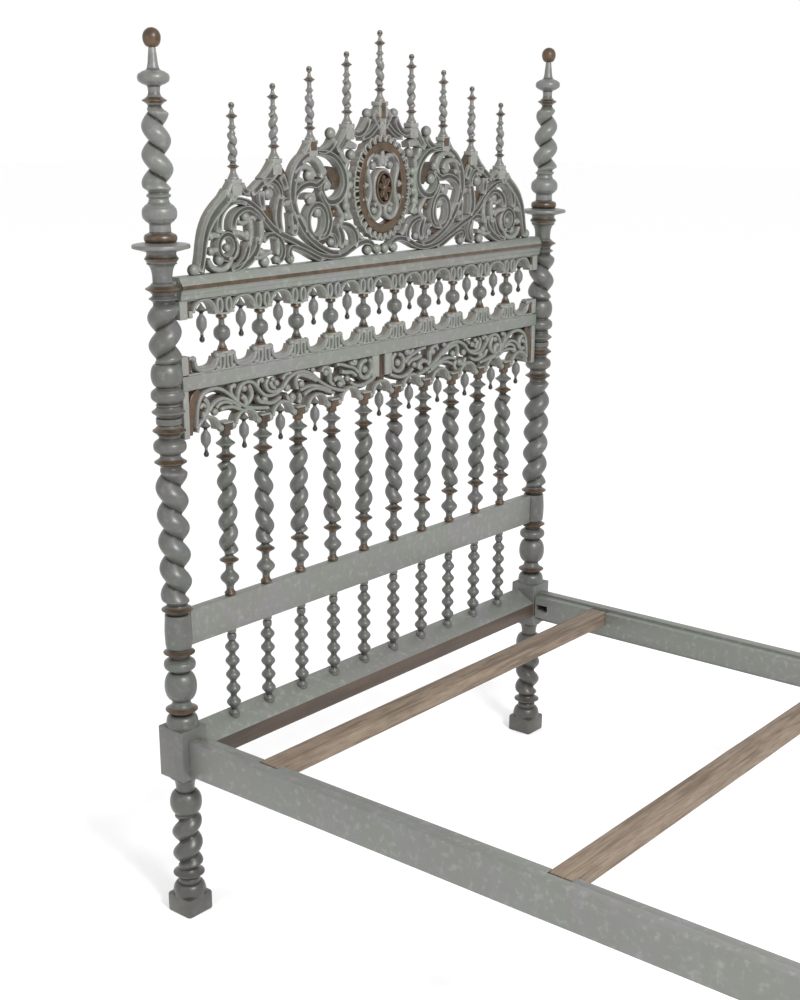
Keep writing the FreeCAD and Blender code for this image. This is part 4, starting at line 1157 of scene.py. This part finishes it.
@dataclass
class Crest:
    """Pierced scroll crest with its medallion, rosette and spires."""

    half_thickness: float = 12.0
    centre: float = 152.0
    petals: int = 30
    leaves: int = 6
    ring_wide: float = 104.5
    ring_tall: float = 120.0
    petal_wide: float = 96.0
    petal_tall: float = 111.5
    broad: tuple = (
        (588, 6, 16, 580, 34, 16, 574, 62, 17, 565, 88, 20, 549, 112, 24, 528, 131, 26, 508, 146, 26,
         494, 160, 28),
        (530, 82, 17, 529, 102, 16, 521, 120, 15, 506, 134, 13, 486, 141, 10, 466, 141, 9, 448, 136, 9),
        (489, 84, 17, 487, 102, 17, 478, 115, 16, 462, 124, 13, 444, 127, 12, 427, 122, 12, 411, 112, 12,
         398, 99, 12),
        (506, 149, 18, 486, 147, 12, 462, 145, 12, 436, 137, 13, 412, 121, 14, 392, 102, 15, 372, 84, 16,
         345, 68, 16, 315, 56, 15, 285, 43, 14, 255, 30, 13, 225, 17, 12, 195, 9, 12, 165, 6, 12,
         135, 10, 13, 110, 20, 14, 84, 30, 14, 58, 33, 14, 38, 27, 12, 28, 14, 10),
        (311, 12, 14, 318, 27, 12, 309, 37, 11, 290, 34, 11, 262, 24, 12, 236, 12, 13, 210, 2, 12),
        (236, 233, 16, 262, 226, 20, 286, 206, 24, 302, 176, 24, 306, 146, 22, 298, 116, 20, 282, 88, 18,
         260, 62, 17, 234, 42, 15, 206, 27, 14, 178, 17, 13, 150, 14, 12),
        (250, 232, 14, 226, 235, 14, 198, 234, 14, 170, 226, 14, 148, 209, 15, 134, 186, 16, 132, 160, 17,
         146, 138, 18, 168, 128, 18, 190, 130, 15, 206, 144, 13, 208, 162, 12, 198, 175, 11),
        (300, 128, 10, 293, 150, 13, 274, 164, 15, 250, 169, 15, 228, 166, 14, 210, 174, 13, 194, 181, 11),
        (218, 152, 12, 206, 134, 13, 191, 112, 14, 184, 86, 15, 191, 64, 15, 206, 54, 13, 224, 53, 11),
        (432, 156, 14, 414, 166, 16, 398, 177, 15, 376, 181, 14, 356, 174, 13, 344, 158, 12, 344, 142, 11),
        (476, 176, 28, 484, 164, 32, 494, 150, 30), (460, 176, 16, 452, 164, 15, 436, 158, 13),
        (353, 214, 28, 362, 202, 30, 378, 188, 26, 396, 178, 20), (340, 190, 20, 332, 176, 18, 326, 160, 16),
        (238, 250, 28, 246, 238, 30, 262, 224, 24), (220, 240, 14, 198, 238, 14, 178, 247, 16, 164, 262, 18),
        (115, 282, 26, 124, 268, 28, 142, 250, 24, 158, 238, 16),
        (108, 278, 16, 88, 272, 14, 70, 277, 15, 57, 290, 16, 48, 306, 15),
        (72, 262, 10, 46, 271, 13, 22, 288, 14, 2, 306, 14), (30, 318, 22, 16, 304, 24, 6, 286, 20),
        (404, 160, 20, 402, 140, 18, 399, 120, 14),
        (340, 150, 18, 348, 130, 20, 352, 108, 22, 350, 88, 20, 343, 72, 14),
        (398, 57, 12, 384, 66, 13, 364, 66, 14, 346, 54, 14, 338, 36, 13, 342, 18, 14, 356, 9, 14),
        (420, 66, 10, 417, 48, 16, 426, 32, 20, 442, 18, 20, 464, 8, 18, 490, 3, 12),
        (444, 58, 9, 449, 40, 14, 458, 24, 15, 476, 10, 14, 498, 3, 10),
        (152, 78, 9, 130, 76, 12, 110, 68, 14, 97, 54, 14, 93, 38, 13, 98, 24, 10),
        (160, 78, 12, 149, 62, 18, 143, 44, 20, 150, 26, 16),
        (186, 58, 9, 173, 54, 10, 164, 42, 11, 166, 26, 10),
        (340, 130, 11, 332, 138, 10, 320, 140, 9, 311, 133, 8),
        (304, 62, 14, 300, 78, 20, 301, 95, 20, 307, 112, 14),
    )
    slim: tuple = (
        (437, 104, 12, 434, 84, 13, 435, 66, 12, 441, 50, 12),
        (404, 100, 12, 402, 82, 14, 404, 64, 14, 412, 50, 13),
        (476, 104, 6, 462, 97, 10, 446, 100, 10, 432, 108, 9, 422, 102, 8),
        (493, 79, 11, 474, 78, 12, 457, 73, 13, 446, 64, 10),
        (484, 68, 9, 476, 52, 9, 480, 36, 10, 492, 26, 10),
        (562, 30, 9, 553, 15, 12, 536, 6, 14, 516, 6, 14, 500, 16, 12, 492, 30, 10),
        (560, 72, 8, 546, 77, 13, 530, 76, 11), (562, 44, 8, 548, 46, 12, 534, 48, 11),
        (430, 24, 9, 410, 22, 11, 392, 28, 12, 374, 32, 9),
        (274, 214, 9, 252, 224, 12, 229, 221, 15, 212, 207, 17, 206, 192, 15, 213, 180, 10),
        (298, 194, 10, 280, 205, 13, 258, 206, 13, 242, 198, 14, 232, 186, 12),
        (300, 178, 8, 286, 181, 11, 272, 178, 8), (268, 140, 8, 252, 146, 10, 236, 146, 9),
        (300, 104, 10, 280, 100, 12, 266, 84, 12, 262, 66, 10),
        (118, 216, 12, 126, 198, 13, 123, 176, 12, 121, 154, 12, 128, 132, 13, 122, 108, 13, 110, 88, 11),
        (132, 250, 15, 112, 250, 18, 94, 246, 13), (142, 236, 14, 136, 222, 14, 120, 212, 13),
        (128, 270, 10, 140, 254, 12, 152, 238, 10), (164, 124, 9, 150, 108, 12, 140, 92, 12, 150, 78, 10),
        (386, 168, 8, 376, 172, 9, 366, 166, 8), (70, 40, 10, 84, 50, 12, 92, 64, 10),
        (356, 60, 8, 352, 40, 10, 356, 24, 8),
    )
    gilded: tuple = (
        (580, 5, 22, 574, 20, 16, 568, 38, 5), (384, 126, 24, 377, 108, 20, 364, 88, 8),
        (462, 50, 7, 468, 34, 13, 475, 16, 7), (186, 198, 16, 168, 188, 28, 156, 172, 26, 166, 158, 14),
        (228, 48, 7, 206, 42, 14, 187, 46, 8), (345, 216, 12, 338, 200, 22, 328, 184, 26, 326, 172, 20),
    )
    balls: tuple = (
        (600, 10, 13), (391, 12, 13), (48, 13, 12), (172, 275, 13), (48, 317, 11), (14, 13, 12),
        (311, 12, 11), (506, 50, 9), (448, 109, 11), (447, 73, 9), (527, 26, 12), (552, 76, 9), (553, 45, 9),
        (499, 26, 9), (376, 154, 14), (320, 133, 10), (244, 187, 15), (283, 179, 8), (202, 194, 12),
        (189, 165, 13), (240, 136, 15), (221, 107, 12), (178, 40, 10), (128, 34, 9), (104, 228, 12),
        (112, 162, 10), (118, 140, 10), (116, 184, 10), (124, 116, 12), (124, 94, 11), (404, 33, 10),
        (357, 14, 9), (300, 80, 11),
    )
    pedestals: tuple = ((0, 343), (115, 295), (238, 262), (353, 226), (476, 188))
    inner_scroll: tuple = (8, 48, 9, 14, 67, 11, 34, 73, 12, 52, 60, 12, 54, 40, 12, 47, 18, 11, 43, 0, 10,
                           46, -20, 11, 53, -38, 12, 48, -58, 12, 28, -69, 12, 11, -60, 11, 9, -45, 10,
                           20, -35, 9, 32, -40, 8)
    inner_balls: tuple = ((28, -50, 10), (30, 50, 10), (62, 7, 9), (63, -24, 10), (9, 66, 8), (10, -38, 7))
    bridges: tuple = ((52, 8, 9, 64, 7, 9, 72, 6, 7), (54, -26, 9, 66, -24, 9, 74, -24, 7))
    petal_bends: tuple = ((-7.4, -9), (-7.6, -1), (-5.6, 4.6), (0, 7), (5.6, 4.6), (7.6, -1), (7.4, -9))

    def carve(self, paint: bpy.types.Material) -> None:
        """Make the scrollwork and its petalled rim.

        Args:
            paint: Its finish.
        """
        work = Workpiece("crest_carving")
        front, back = HEAD_Y - self.half_thickness, HEAD_Y + self.half_thickness
        carving = Carving(work, CREST_FOOT, front, back)
        for k, numbers in enumerate(self.broad):
            carving.band(curve(*numbers), sunk=0.3 * (k % 4))
        for k, numbers in enumerate(self.slim):
            carving.band(curve(*numbers), Section.ROLL, 0.8 + 0.4 * (k % 3))
        for numbers in self.gilded:
            carving.band(curve(*numbers), Section.FLAT, 9.0, 1.0)
        carving.band(oval(508, 52, 24, 25, 13), sunk=0.2, closed=True)
        carving.band(oval(226, 88, 30, 36, 15), sunk=0.7, closed=True)
        for x, z, radius in self.balls:
            carving.ball(x, z, radius)
        carving.ball(168, 104, 10, 1.0)
        for x, top in self.pedestals:
            half = 14.5 if x else 17.5
            carving.slab(x, top - 10, top, half, front, back, 0.0, 2)
            carving.slab(x, top - 18, top - 8, half - 3.5, front + 1.5, back - 1.5, 0.0, 1)
            carving.slab(x, top - 34, top - 13, half - 0.5, front + 0.4, back - 0.4, 0.0, 2)
        carving.slab(238, 240, 259, 9, front - 0.6, front + 4, 1.0, 0.5)
        carving.slab(0, 306, 340, 7, front - 0.6, front + 4, 1.0, 0.5)
        self.rim(carving)
        carving.mirrored = False
        carving.band([(0, 268, 22), (0, 290, 22), (0, 318, 30)], sunk=0.5)
        carving.ball(0, 276, 9)
        work.dress(paint, "crest_panel")

    def around(self, inset: float, width: float) -> list[Row]:
        """Rows round the medallion, inset from the tips of its petals."""
        return oval(0, self.centre, self.ring_wide - inset, self.ring_tall - inset, width, 84)

    def rim(self, carving: Carving) -> None:
        """Carve the oval rim of scooped petals.

        Args:
            carving: The crest under work.
        """
        wide, tall = self.petal_wide, self.petal_tall
        carving.mirrored = False
        # A sunk band behind the petals, darkened as painted shade.
        carving.band(self.around(16.0, 26), Section.FLAT, 8.5, closed=True, recess=0.8)
        carving.band(self.around(5.4, 5.5), Section.ROLL, 2.5, closed=True)
        for k in range(self.petals):
            angle = (k + 0.5) / self.petals * math.tau
            middle = Vector((wide * math.cos(angle), self.centre + tall * math.sin(angle)))
            out = Vector((math.cos(angle) * tall, math.sin(angle) * wide)).normalized()
            side = Vector((-out.y, out.x))
            rows = [(*(middle + side * u + out * v), 5.4) for u, v in self.petal_bends]
            carving.band(rows, Section.ROLL, 0.3)
        carving.mirrored = True

    def placed(self, *numbers: float, step: float = 6.0) -> list[Row]:
        """Middle line through points given from the medallion's centre."""
        return [(x, self.centre + z, width) for x, z, width in curve(*numbers, step=step)]

    def medallion(self, paint: bpy.types.Material) -> None:
        """Make the gilt ring and its inner scrolls.

        Args:
            paint: Their finish.
        """
        work = Workpiece("medallion_carving")
        ring_board = Carving(work, CREST_FOOT, HEAD_Y - 11, HEAD_Y + 12, False)
        ring_board.band(self.around(26.5, 17), Section.FLAT, 0.0, 1.0, True)
        ring_board.band(self.around(35.5, 4), Section.ROLL, -2.0, 1.0, True)
        carving = Carving(work, CREST_FOOT, HEAD_Y - 13, HEAD_Y + 7)
        carving.band(self.placed(*self.inner_scroll, step=5.0), Section.ROLL)
        for x, z, radius in self.inner_balls:
            carving.ball(x, self.centre + z, radius, sunk=1.0)
        for bridge in self.bridges:
            carving.band(self.placed(*bridge), Section.ROLL, 1.0)
        carving.mirrored = False
        stem = [(0, self.centre + z, width) for z, width in ((50, 16), (64, 15), (76, 12), (84, 9))]
        carving.band(stem, Section.ROLL, 0.6)
        carving.band(oval(0, self.centre, 31, 40, 9, 40), Section.ROLL, 0.4, 0.2, True)
        carving.slab(0, self.centre - 31, self.centre + 31, 23, HEAD_Y - 7, HEAD_Y + 7, 0.9, 4)
        work.dress(paint, "crest_medallion")

    def rosette(self, gilt: bpy.types.Material) -> None:
        """Make the rosette in its beaded oval.

        Args:
            gilt: Its finish.
        """
        work = Workpiece("rosette_carving")
        carving = Carving(work, CREST_FOOT, HEAD_Y - 20, HEAD_Y - 7.2, False)
        carving.ball(0, self.centre, 7, sunk=0.4)
        for k in range(self.leaves):
            angle = math.radians(30) + k / self.leaves * math.tau
            leaf = []
            for reach, width, turn in ((3, 5, 0.0), (9, 12, 0.2), (15, 13, 0.3), (21, 7, 0.2)):
                leaf += [reach * math.cos(angle + turn), 1.35 * reach * math.sin(angle + turn), width]
            carving.band(self.placed(*leaf), Section.FLUTE, 3.0 + 0.3 * (k % 2))
        carving.band(oval(0, self.centre, 25.6, 34.2, 4.2, 40), Section.ROLL, 3.0, closed=True, gilt=1.0)
        work.dress(gilt, "crest_rosette")

    def spire_rows(self, base: float) -> list[Cut]:
        """Profile of a spire over its pedestal.

        Args:
            base: Height of the pedestal's top.

        Returns:
            The profile's points.
        """
        return [Cut(base, 12), Cut(base + 3, 12), Cut(base + 16, 6, Cutter.SETTLE),
                *ring(base + 25, 6, 12.6, 6, 1), Cut(base + 34, 6), Cut(base + 93, 5.5),
                *ring(base + 103, 6, 9, 5), Cut(base + 112, 4.6), *ring(base + 125, 7, 12.3, 4.8, 1),
                Cut(base + 134, 4), Cut(base + 139, 3.2), *ball(base + 146, 6.3, 6.3, 2.5, 1),
                Cut(base + 153, 0)]

    def spires(self, paint: bpy.types.Material) -> None:
        """Make the small twisted finials.

        Args:
            paint: Their finish.
        """
        places = [(-x, top) for x, top in reversed(self.pedestals[1:])] + list(self.pedestals)
        for k, (x, top) in enumerate(places):
            base = CREST_FOOT + top
            work = Workpiece("spire_turning_%d" % (k + 1))
            twist = Twist(base + 33, base + 95, 10.6, 5.0, 23, Hand.RIGHT if k % 2 else Hand.LEFT)
            Turning(x, HEAD_Y, self.spire_rows(base), [twist], 20, 2.2).add_to(work)
            work.dress(paint, "spire_%d" % (k + 1))


@dataclass
class Galleries:
    """The frieze, the valance under the crest rail and the cresting over the gallery rail."""

    reach: float = 650.5
    front: float = 983.0
    back: float = 1011.0
    bays: int = 10
    lip: float = 7.0
    ribs: tuple = (
        (614, 18, 7, 612, 46, 8, 607, 70, 8, 596, 86, 9, 578, 95, 9, 556, 97, 9, 536, 91, 8, 518, 80, 8,
         500, 66, 8, 484, 53, 8, 466, 44, 8, 444, 38, 8, 420, 34, 8, 396, 31, 8),
        (576, 50, 7, 568, 60, 8, 554, 69, 8, 536, 72, 8, 518, 67, 8, 500, 57, 8, 484, 46, 7),
        (556, 54, 6, 542, 62, 8, 524, 63, 8, 508, 56, 6),
        (546, 49, 7, 526, 51, 8, 504, 49, 8, 484, 41, 8, 466, 33, 7),
        (592, 80, 9, 582, 72, 12, 578, 58, 13, 586, 45, 11, 600, 46, 9),
        (602, 60, 8, 594, 68, 9, 588, 62, 8), (506, 98, 7, 511, 86, 8, 506, 74, 7, 494, 64, 6),
        (491, 58, 7, 488, 76, 9, 478, 92, 9, 460, 98, 8, 442, 94, 8, 430, 83, 8, 418, 70, 8, 404, 60, 8,
         384, 57, 8, 364, 61, 8, 346, 71, 8, 330, 86, 8, 308, 96, 9, 284, 98, 9, 262, 92, 8, 244, 81, 8,
         226, 68, 8, 206, 56, 8, 184, 46, 8, 160, 38, 8, 138, 33, 8),
        (300, 60, 8, 303, 76, 9, 296, 90, 10, 276, 89, 14, 254, 80, 12, 236, 70, 8),
        (292, 55, 6, 268, 60, 8, 248, 60, 8, 228, 56, 8, 206, 48, 8, 188, 40, 7),
        (280, 42, 5, 262, 50, 8, 240, 53, 8, 216, 47, 8, 196, 39, 7, 176, 33, 7),
        (394, 97, 7, 401, 84, 9, 393, 69, 9, 374, 64, 8, 356, 68, 6), (388, 90, 10, 383, 78, 10, 374, 72, 8),
        (412, 99, 6, 425, 95, 8, 428, 82, 7), (456, 92, 8, 449, 80, 12, 446, 66, 11, 456, 52, 9, 472, 48, 7),
        (480, 70, 12, 468, 62, 14, 464, 50, 10),
        (430, 62, 8, 421, 49, 10, 404, 44, 9, 386, 40, 9, 370, 43, 8, 356, 50, 7),
        (296, 50, 8, 290, 38, 12, 296, 26, 8), (218, 88, 7, 211, 97, 8, 197, 95, 8, 190, 88, 7),
        (190, 90, 9, 187, 76, 11, 187, 62, 10, 178, 52, 8),
        (168, 98, 7, 148, 96, 8, 126, 89, 8, 104, 82, 8, 88, 70, 8),
        (150, 80, 10, 132, 75, 10, 112, 73, 9, 97, 63, 8),
        (176, 61, 9, 161, 66, 11, 147, 60, 11, 140, 48, 9),
        (118, 52, 8, 104, 42, 9, 84, 37, 9, 64, 38, 9, 44, 44, 9, 28, 50, 8),
        (50, 98, 8, 39, 85, 10, 39, 68, 11, 50, 56, 11, 66, 53, 10, 80, 61, 10, 83, 76, 9, 75, 90, 10,
         60, 95, 9), (120, 98, 8, 108, 92, 9, 98, 92, 8), (336, 52, 8, 330, 40, 9, 316, 34, 8),
        (350, 88, 7, 338, 98, 8, 322, 100, 7),
    )
    eyes: tuple = (
        (500, 95, 6.5), (413, 94, 6), (379, 92, 6.5), (314, 42, 10), (284, 68, 9), (200, 84, 9),
        (151, 50, 9), (62, 73, 10), (99, 95, 10), (404, 51, 9), (557, 46, 9), (592, 44, 8), (468, 84, 8),
        (330, 66, 9), (366, 82, 8), (126, 60, 8), (246, 96, 7),
    )

    def arcade(self, carving: Carving, middle: float, wide: float, tall: float) -> None:
        """Carve a row of arches with a thin proud lip.

        Args:
            carving: The board under work.
            middle: Height of their centres over the base.
            wide: Half their span.
            tall: Their rise.
        """
        turns = [math.radians(degrees) for degrees in range(-4, 185, 9)]
        for x in centres(self.bays + 1):
            rows = [(x + wide * math.cos(turn), middle + tall * math.sin(turn), self.lip) for turn in turns]
            carving.band(rows, Section.ROLL)

    def valance(self, paint: bpy.types.Material) -> None:
        """Carve arches with pairs of upright loops between them.

        Args:
            paint: Their finish.
        """
        work = Workpiece("valance_carving")
        front, back = self.front, self.back - 2
        carving = Carving(work, VALANCE_FOOT, front, self.back, False)
        self.arcade(carving, 9, 31.5, 27)
        for x in centres(self.bays):
            carving.slab(x, -0.4, 4, 13, front + 1, self.back - 1)
            for side in (-1, 1):
                carving.band(oval(x + side * 13.4, 19.5, 7.4, 15.5, 6.4, 24), Section.ROLL, 0.6, closed=True)
                carving.slab(x + side * 13.4, 3, 37, 6, front + 12, back)
                carving.slab(x + side * 24, 2, 12, 5, front + 2, back)
        for side in (-1, 1):
            carving.slab(side * 639.5, -0.4, 40, 11, front + 2, back)
            carving.slab(side * 625, 1, 39, 4.5, front + 6, back, 1.0)
            carving.slab(side * 620, 1, 16, 5, front + 1, back)
        carving.slab(0, 35.5, 40, self.reach, front + 4, back)
        work.dress(paint, "gallery_valance")

    def cresting(self, paint: bpy.types.Material) -> None:
        """Carve cradles with ball ends between slotted stands.

        Args:
            paint: Their finish.
        """
        work = Workpiece("cresting_carving")
        front, back = self.front, self.back - 2
        carving = Carving(work, CRESTING_FOOT, front, self.back, False)
        for x in centres(self.bays + 1):
            cradle = (x - 34, 30, 7, x - 28, 15, 9, x - 16, 8, 11, x, 6.5, 12, x + 16, 8, 11, x + 28, 15, 9,
                      x + 34, 30, 7)
            carving.band(curve(*cradle, step=5.0), Section.ROLL)
            for side in (-1, 1):
                carving.ball(x + side * 34.5, 33, 7.2)
        for x in centres(self.bays):
            carving.slab(x, 35.5, 40, 13.5, front, self.back)
            for side in (-1, 1):
                outer = curve(x + side * 20, 3, 9, x + side * 17, 14, 7, x + side * 17, 36, 8)
                inner = curve(x + side * 9, 1, 9, x + side * 5, 12, 7, x + side * 4.5, 37, 8)
                carving.band(outer, Section.ROLL, 0.8)
                carving.band(inner, Section.ROLL, 0.8)
                carving.slab(x + side * 11, 1, 39, 7, front + 12, back)
                carving.slab(x + side * 11, 28, 38, 8, front + 1.5, back)
                carving.ball(x + side * 24, 6, 6)
        for side in (-1, 1):
            carving.slab(side * 641, -0.4, 40, 9.5, front + 2, back)
            carving.slab(side * 627, 1, 38, 5, front + 5, back, 1.0)
            carving.band(curve(side * 631, 36, 8, side * 622, 36, 7, side * 615, 31, 6), Section.ROLL)
        carving.slab(0, -0.4, 4, self.reach, front + 2, back)
        work.dress(paint, "gallery_cresting")

    def frieze(self, paint: bpy.types.Material) -> None:
        """Carve leafy scrolls over an arcade, with gilt blocks on the spindles.

        Args:
            paint: Their finish.
        """
        work = Workpiece("frieze_carving")
        front, back = self.front, self.back - 3
        # The frieze's deeper walls take stronger painted shade.
        carving = Carving(work, FRIEZE_FOOT, front, self.back, False, 0.9)
        self.arcade(carving, 8, 33, 30)
        for x in centres(self.bays):
            carving.slab(x, -0.4, 18, 12.5, front + 1, self.back - 1, 0.75)
            carving.slab(x, 16, 20, 15, front, self.back)
            for side in (-1, 1):
                carving.ball(x + side * 19, 8, 8.6)
        carving.mirrored = True
        for k, numbers in enumerate(self.ribs):
            rows = curve(*numbers)
            shadow_backing = [(x, z, width + 8) for x, z, width in rows]
            carving.band(rows, Section.ROLL, 0.4 * (k % 3))
            # A wider sunk band under each rib, darkened as a painted shadow.
            carving.band(shadow_backing, Section.FLAT, 9.0 + 0.2 * (k % 5), recess=0.8)
        for x, z, radius in self.eyes:
            carving.ball(x, z, radius)
        carving.slab(643, 0, 103, 8, front + 2, back)
        edge = curve(630, 6, 9, 630, 34, 17, 626, 60, 21, 617, 84, 20, 604, 99, 12)
        carving.band(edge, Section.FLAT, 3.5, 1.0)
        carving.slab(24, 50, 103, 13, front + 3, back)
        carving.mirrored = False
        carving.slab(0, 98.5, 103, self.reach, front + 9, back)
        carving.slab(0, 38, 103, 12, front + 8, back, 1.0)
        work.dress(paint, "frieze_panel")


# ------------------------------------------------------------------ boards


@dataclass
class Boards:
    """Rails, ledgers and slats, taken from the frame with softened edges."""

    corner: float = 1.1
    cap_line: tuple = (1423.5, 1431.5)
    gallery_line: tuple = (1214.0, 1218.5)
    line_depth: float = 976.0
    bare_depth: float = 958.4
    bare_top: float = 415.5
    painted: tuple = ("crest_rail", "crest_cap", "gallery_rail", "mid_rail", "head_rail", "foot_rail",
                      "side_rail_left", "side_rail_right", "ledger_left", "ledger_right")

    def soften(self, node: str, material: bpy.types.Material, body: Body = Body.BED) -> None:
        """Copy a node, round its edges and dress it.

        Args:
            node: The node of the frame.
            material: Its finish.
            body: The body that it rides on.
        """
        work = Workpiece(node + "_board")
        bm = work.bm
        bm.from_mesh(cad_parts[node].data)
        bmesh.ops.transform(bm, matrix=Matrix.Scale(1 / MM, 4), verts=bm.verts)
        bmesh.ops.remove_doubles(bm, verts=bm.verts, dist=0.01)
        bevel(bm, [edge for edge in bm.edges if edge.calc_face_angle(0.0) > 0.5], self.corner)
        if node == "head_rail":
            self.bare_front(bm)
        if node == "crest_cap":
            self.line(bm, *self.cap_line)
        if node == "gallery_rail":
            self.line(bm, *self.gallery_line)
        work.done(material, node, body, 30.0)

    def line(self, bm: bmesh.types.BMesh, low: float, high: float) -> None:
        """Paint a brown line along the front.

        Args:
            bm: The board.
            low: Bottom of the line.
            high: Top of the line.
        """
        for level in (low, high):
            bmesh.ops.bisect_plane(bm, geom=bm.verts[:] + bm.edges[:] + bm.faces[:], plane_co=(0, 0, level),
                                   plane_no=(0, 0, 1))
        key = layer(bm, Mask.GILT)
        for vert in bm.verts:
            if low - 0.1 < vert.co.z < high + 0.1 and vert.co.y < self.line_depth:
                vert[key] = 1.0

    def bare_front(self, bm: bmesh.types.BMesh) -> None:
        """Leave the head rail's front face unpainted.

        Args:
            bm: The rail.
        """
        key = layer(bm, Mask.BARE)
        for vert in bm.verts:
            if vert.co.y < self.bare_depth and vert.co.z < self.bare_top:
                vert[key] = 1.0

    def build(self, paint: bpy.types.Material, wood: bpy.types.Material) -> None:
        """Dress every board.

        Args:
            paint: Finish of the rails and ledgers.
            wood: Finish of the slats.
        """
        for node in self.painted:
            self.soften(node, paint)
        for body in (Body.SLAT_1, Body.SLAT_2, Body.SLAT_3):
            self.soften(body.value, wood, body)


@dataclass
class Hardware:
    """Bed bolts and their nuts, which keep the frame's own meshes."""

    nodes: tuple = ("bed_bolts", "bolt_nuts")

    def build(self, iron: bpy.types.Material) -> None:
        """Give them the iron finish.

        Args:
            iron: Their finish.
        """
        for node in self.nodes:
            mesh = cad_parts[node].data
            mesh.materials.clear()
            mesh.materials.append(iron)
            LOG.info("%s: %d faces", node, len(mesh.polygons))


# ------------------------------------------------------------------ studio


@dataclass(frozen=True)
class Lamp:
    """One soft square light. Places and sizes are metres, power is watts."""

    name: str
    place: tuple
    target: tuple
    size: float
    power: float

    def hang(self) -> None:
        """Put the light up."""
        data = bpy.data.lights.new(self.name, "AREA")
        data.size, data.energy = self.size, self.power
        lamp = bpy.data.objects.new(self.name, data)
        lamp.location = self.place
        lamp.rotation_mode = "QUATERNION"
        lamp.rotation_quaternion = (Vector(self.target) - Vector(self.place)).to_track_quat("-Z", "Y")
        bpy.context.scene.collection.objects.link(lamp)


@dataclass
class Studio:
    """Camera at the photograph's place, soft lights and a pale floor, in metres and radians."""

    azimuth: float = -0.86946
    elevation: float = 0.32115
    eye: tuple = (-2.7166, -1.2886, 1.78165)
    lens: float = 52.80
    shift: tuple = (0.0238, 0.0939)
    floor_white: float = 0.99
    floor_half: float = 40.0
    lamps: tuple = (Lamp("key", (-1.5, -3.0, 3.6), (0, 0.9, 1.0), 1.2, 220),
                    Lamp("fill", (-4.4, 1.2, 1.8), (0, 0.6, 0.9), 2.0, 18))

    def camera(self) -> None:
        """Place the camera."""
        data = bpy.data.cameras.new("view")
        camera = bpy.data.objects.new("view", data)
        bpy.context.scene.collection.objects.link(camera)
        a, e = self.azimuth, self.elevation
        back = Vector((math.sin(a) * math.cos(e), -math.cos(a) * math.cos(e), math.sin(e)))
        camera.location = self.eye
        camera.rotation_mode = "QUATERNION"
        camera.rotation_quaternion = (-back).to_track_quat("-Z", "Y")
        data.sensor_width, data.lens = 36.0, self.lens
        data.shift_x, data.shift_y = self.shift
        data.clip_start, data.clip_end = 0.05, 100
        bpy.context.scene.camera = camera

    def floor(self) -> None:
        """Lay the pale floor."""
        bm = bmesh.new()
        bmesh.ops.create_grid(bm, x_segments=4, y_segments=4, size=self.floor_half)
        mesh = bpy.data.meshes.new("floor")
        bm.to_mesh(mesh)
        bm.free()
        kit = NodeKit("floor_white")
        kit.shader.inputs["Base Color"].default_value = (*[self.floor_white] * 3, 1)
        kit.shader.inputs["Roughness"].default_value = 0.9
        mesh.materials.append(kit.material)
        floor = bpy.data.objects.new("floor", mesh)
        bpy.context.scene.collection.objects.link(floor)

    def backdrop(self) -> None:
        """Surround the bed with even white light."""
        world = bpy.data.worlds.new("studio")
        bpy.context.scene.world = world
        world.use_nodes = True
        white = world.node_tree.nodes["Background"]
        white.inputs[0].default_value = (1.0, 1.0, 1.0, 1)
        white.inputs[1].default_value = 1.0
        bpy.context.scene.view_settings.view_transform = "Standard"

    def build(self) -> None:
        """Set up the whole studio."""
        self.camera()
        self.floor()
        self.backdrop()
        for lamp in self.lamps:
            lamp.hang()


def main() -> None:
    """Build and dress the bed."""
    logging.basicConfig(level=logging.INFO, format="%(name)s: %(message)s")
    Studio().build()
    paint, gilt, tip = AgedPaint().material(), RubbedGilt().material(), DarkTip().material()
    # The turned paint darkens towards the floor as painted shade.
    turned = AgedPaint("turned_paint", colour(70, 73, 68), colour(70, 69, 66), colour(78, 75, 78),
                       colour(122, 122, 117), sheen=0.35, painted_shade=0.6).material()
    # A lighter copy of the turned paint for the discs, finials and spires high up, as painted light.
    lit_paint = AgedPaint("lit_upper_paint", colour(88, 91, 85), colour(90, 89, 86), colour(99, 96, 100),
                      colour(146, 145, 141), sheen=0.35).material()
    wood, iron = BareWood().material(), Iron().material()
    for side, word in SIDES:
        Post(side, HEAD_Y, word).build(turned)
        Post(side, -HEAD_Y, word).build(turned)
        PostTop(side, word).build(lit_paint, gilt)
    Spindles().build(turned, tip)
    crest = Crest()
    crest.carve(paint)
    crest.medallion(paint)
    crest.rosette(gilt)
    crest.spires(lit_paint)
    galleries = Galleries()
    galleries.valance(paint)
    galleries.cresting(paint)
    galleries.frieze(paint)
    Boards().build(paint, wood)
    Hardware().build(iron)


if __name__ == "__main__":
    main()
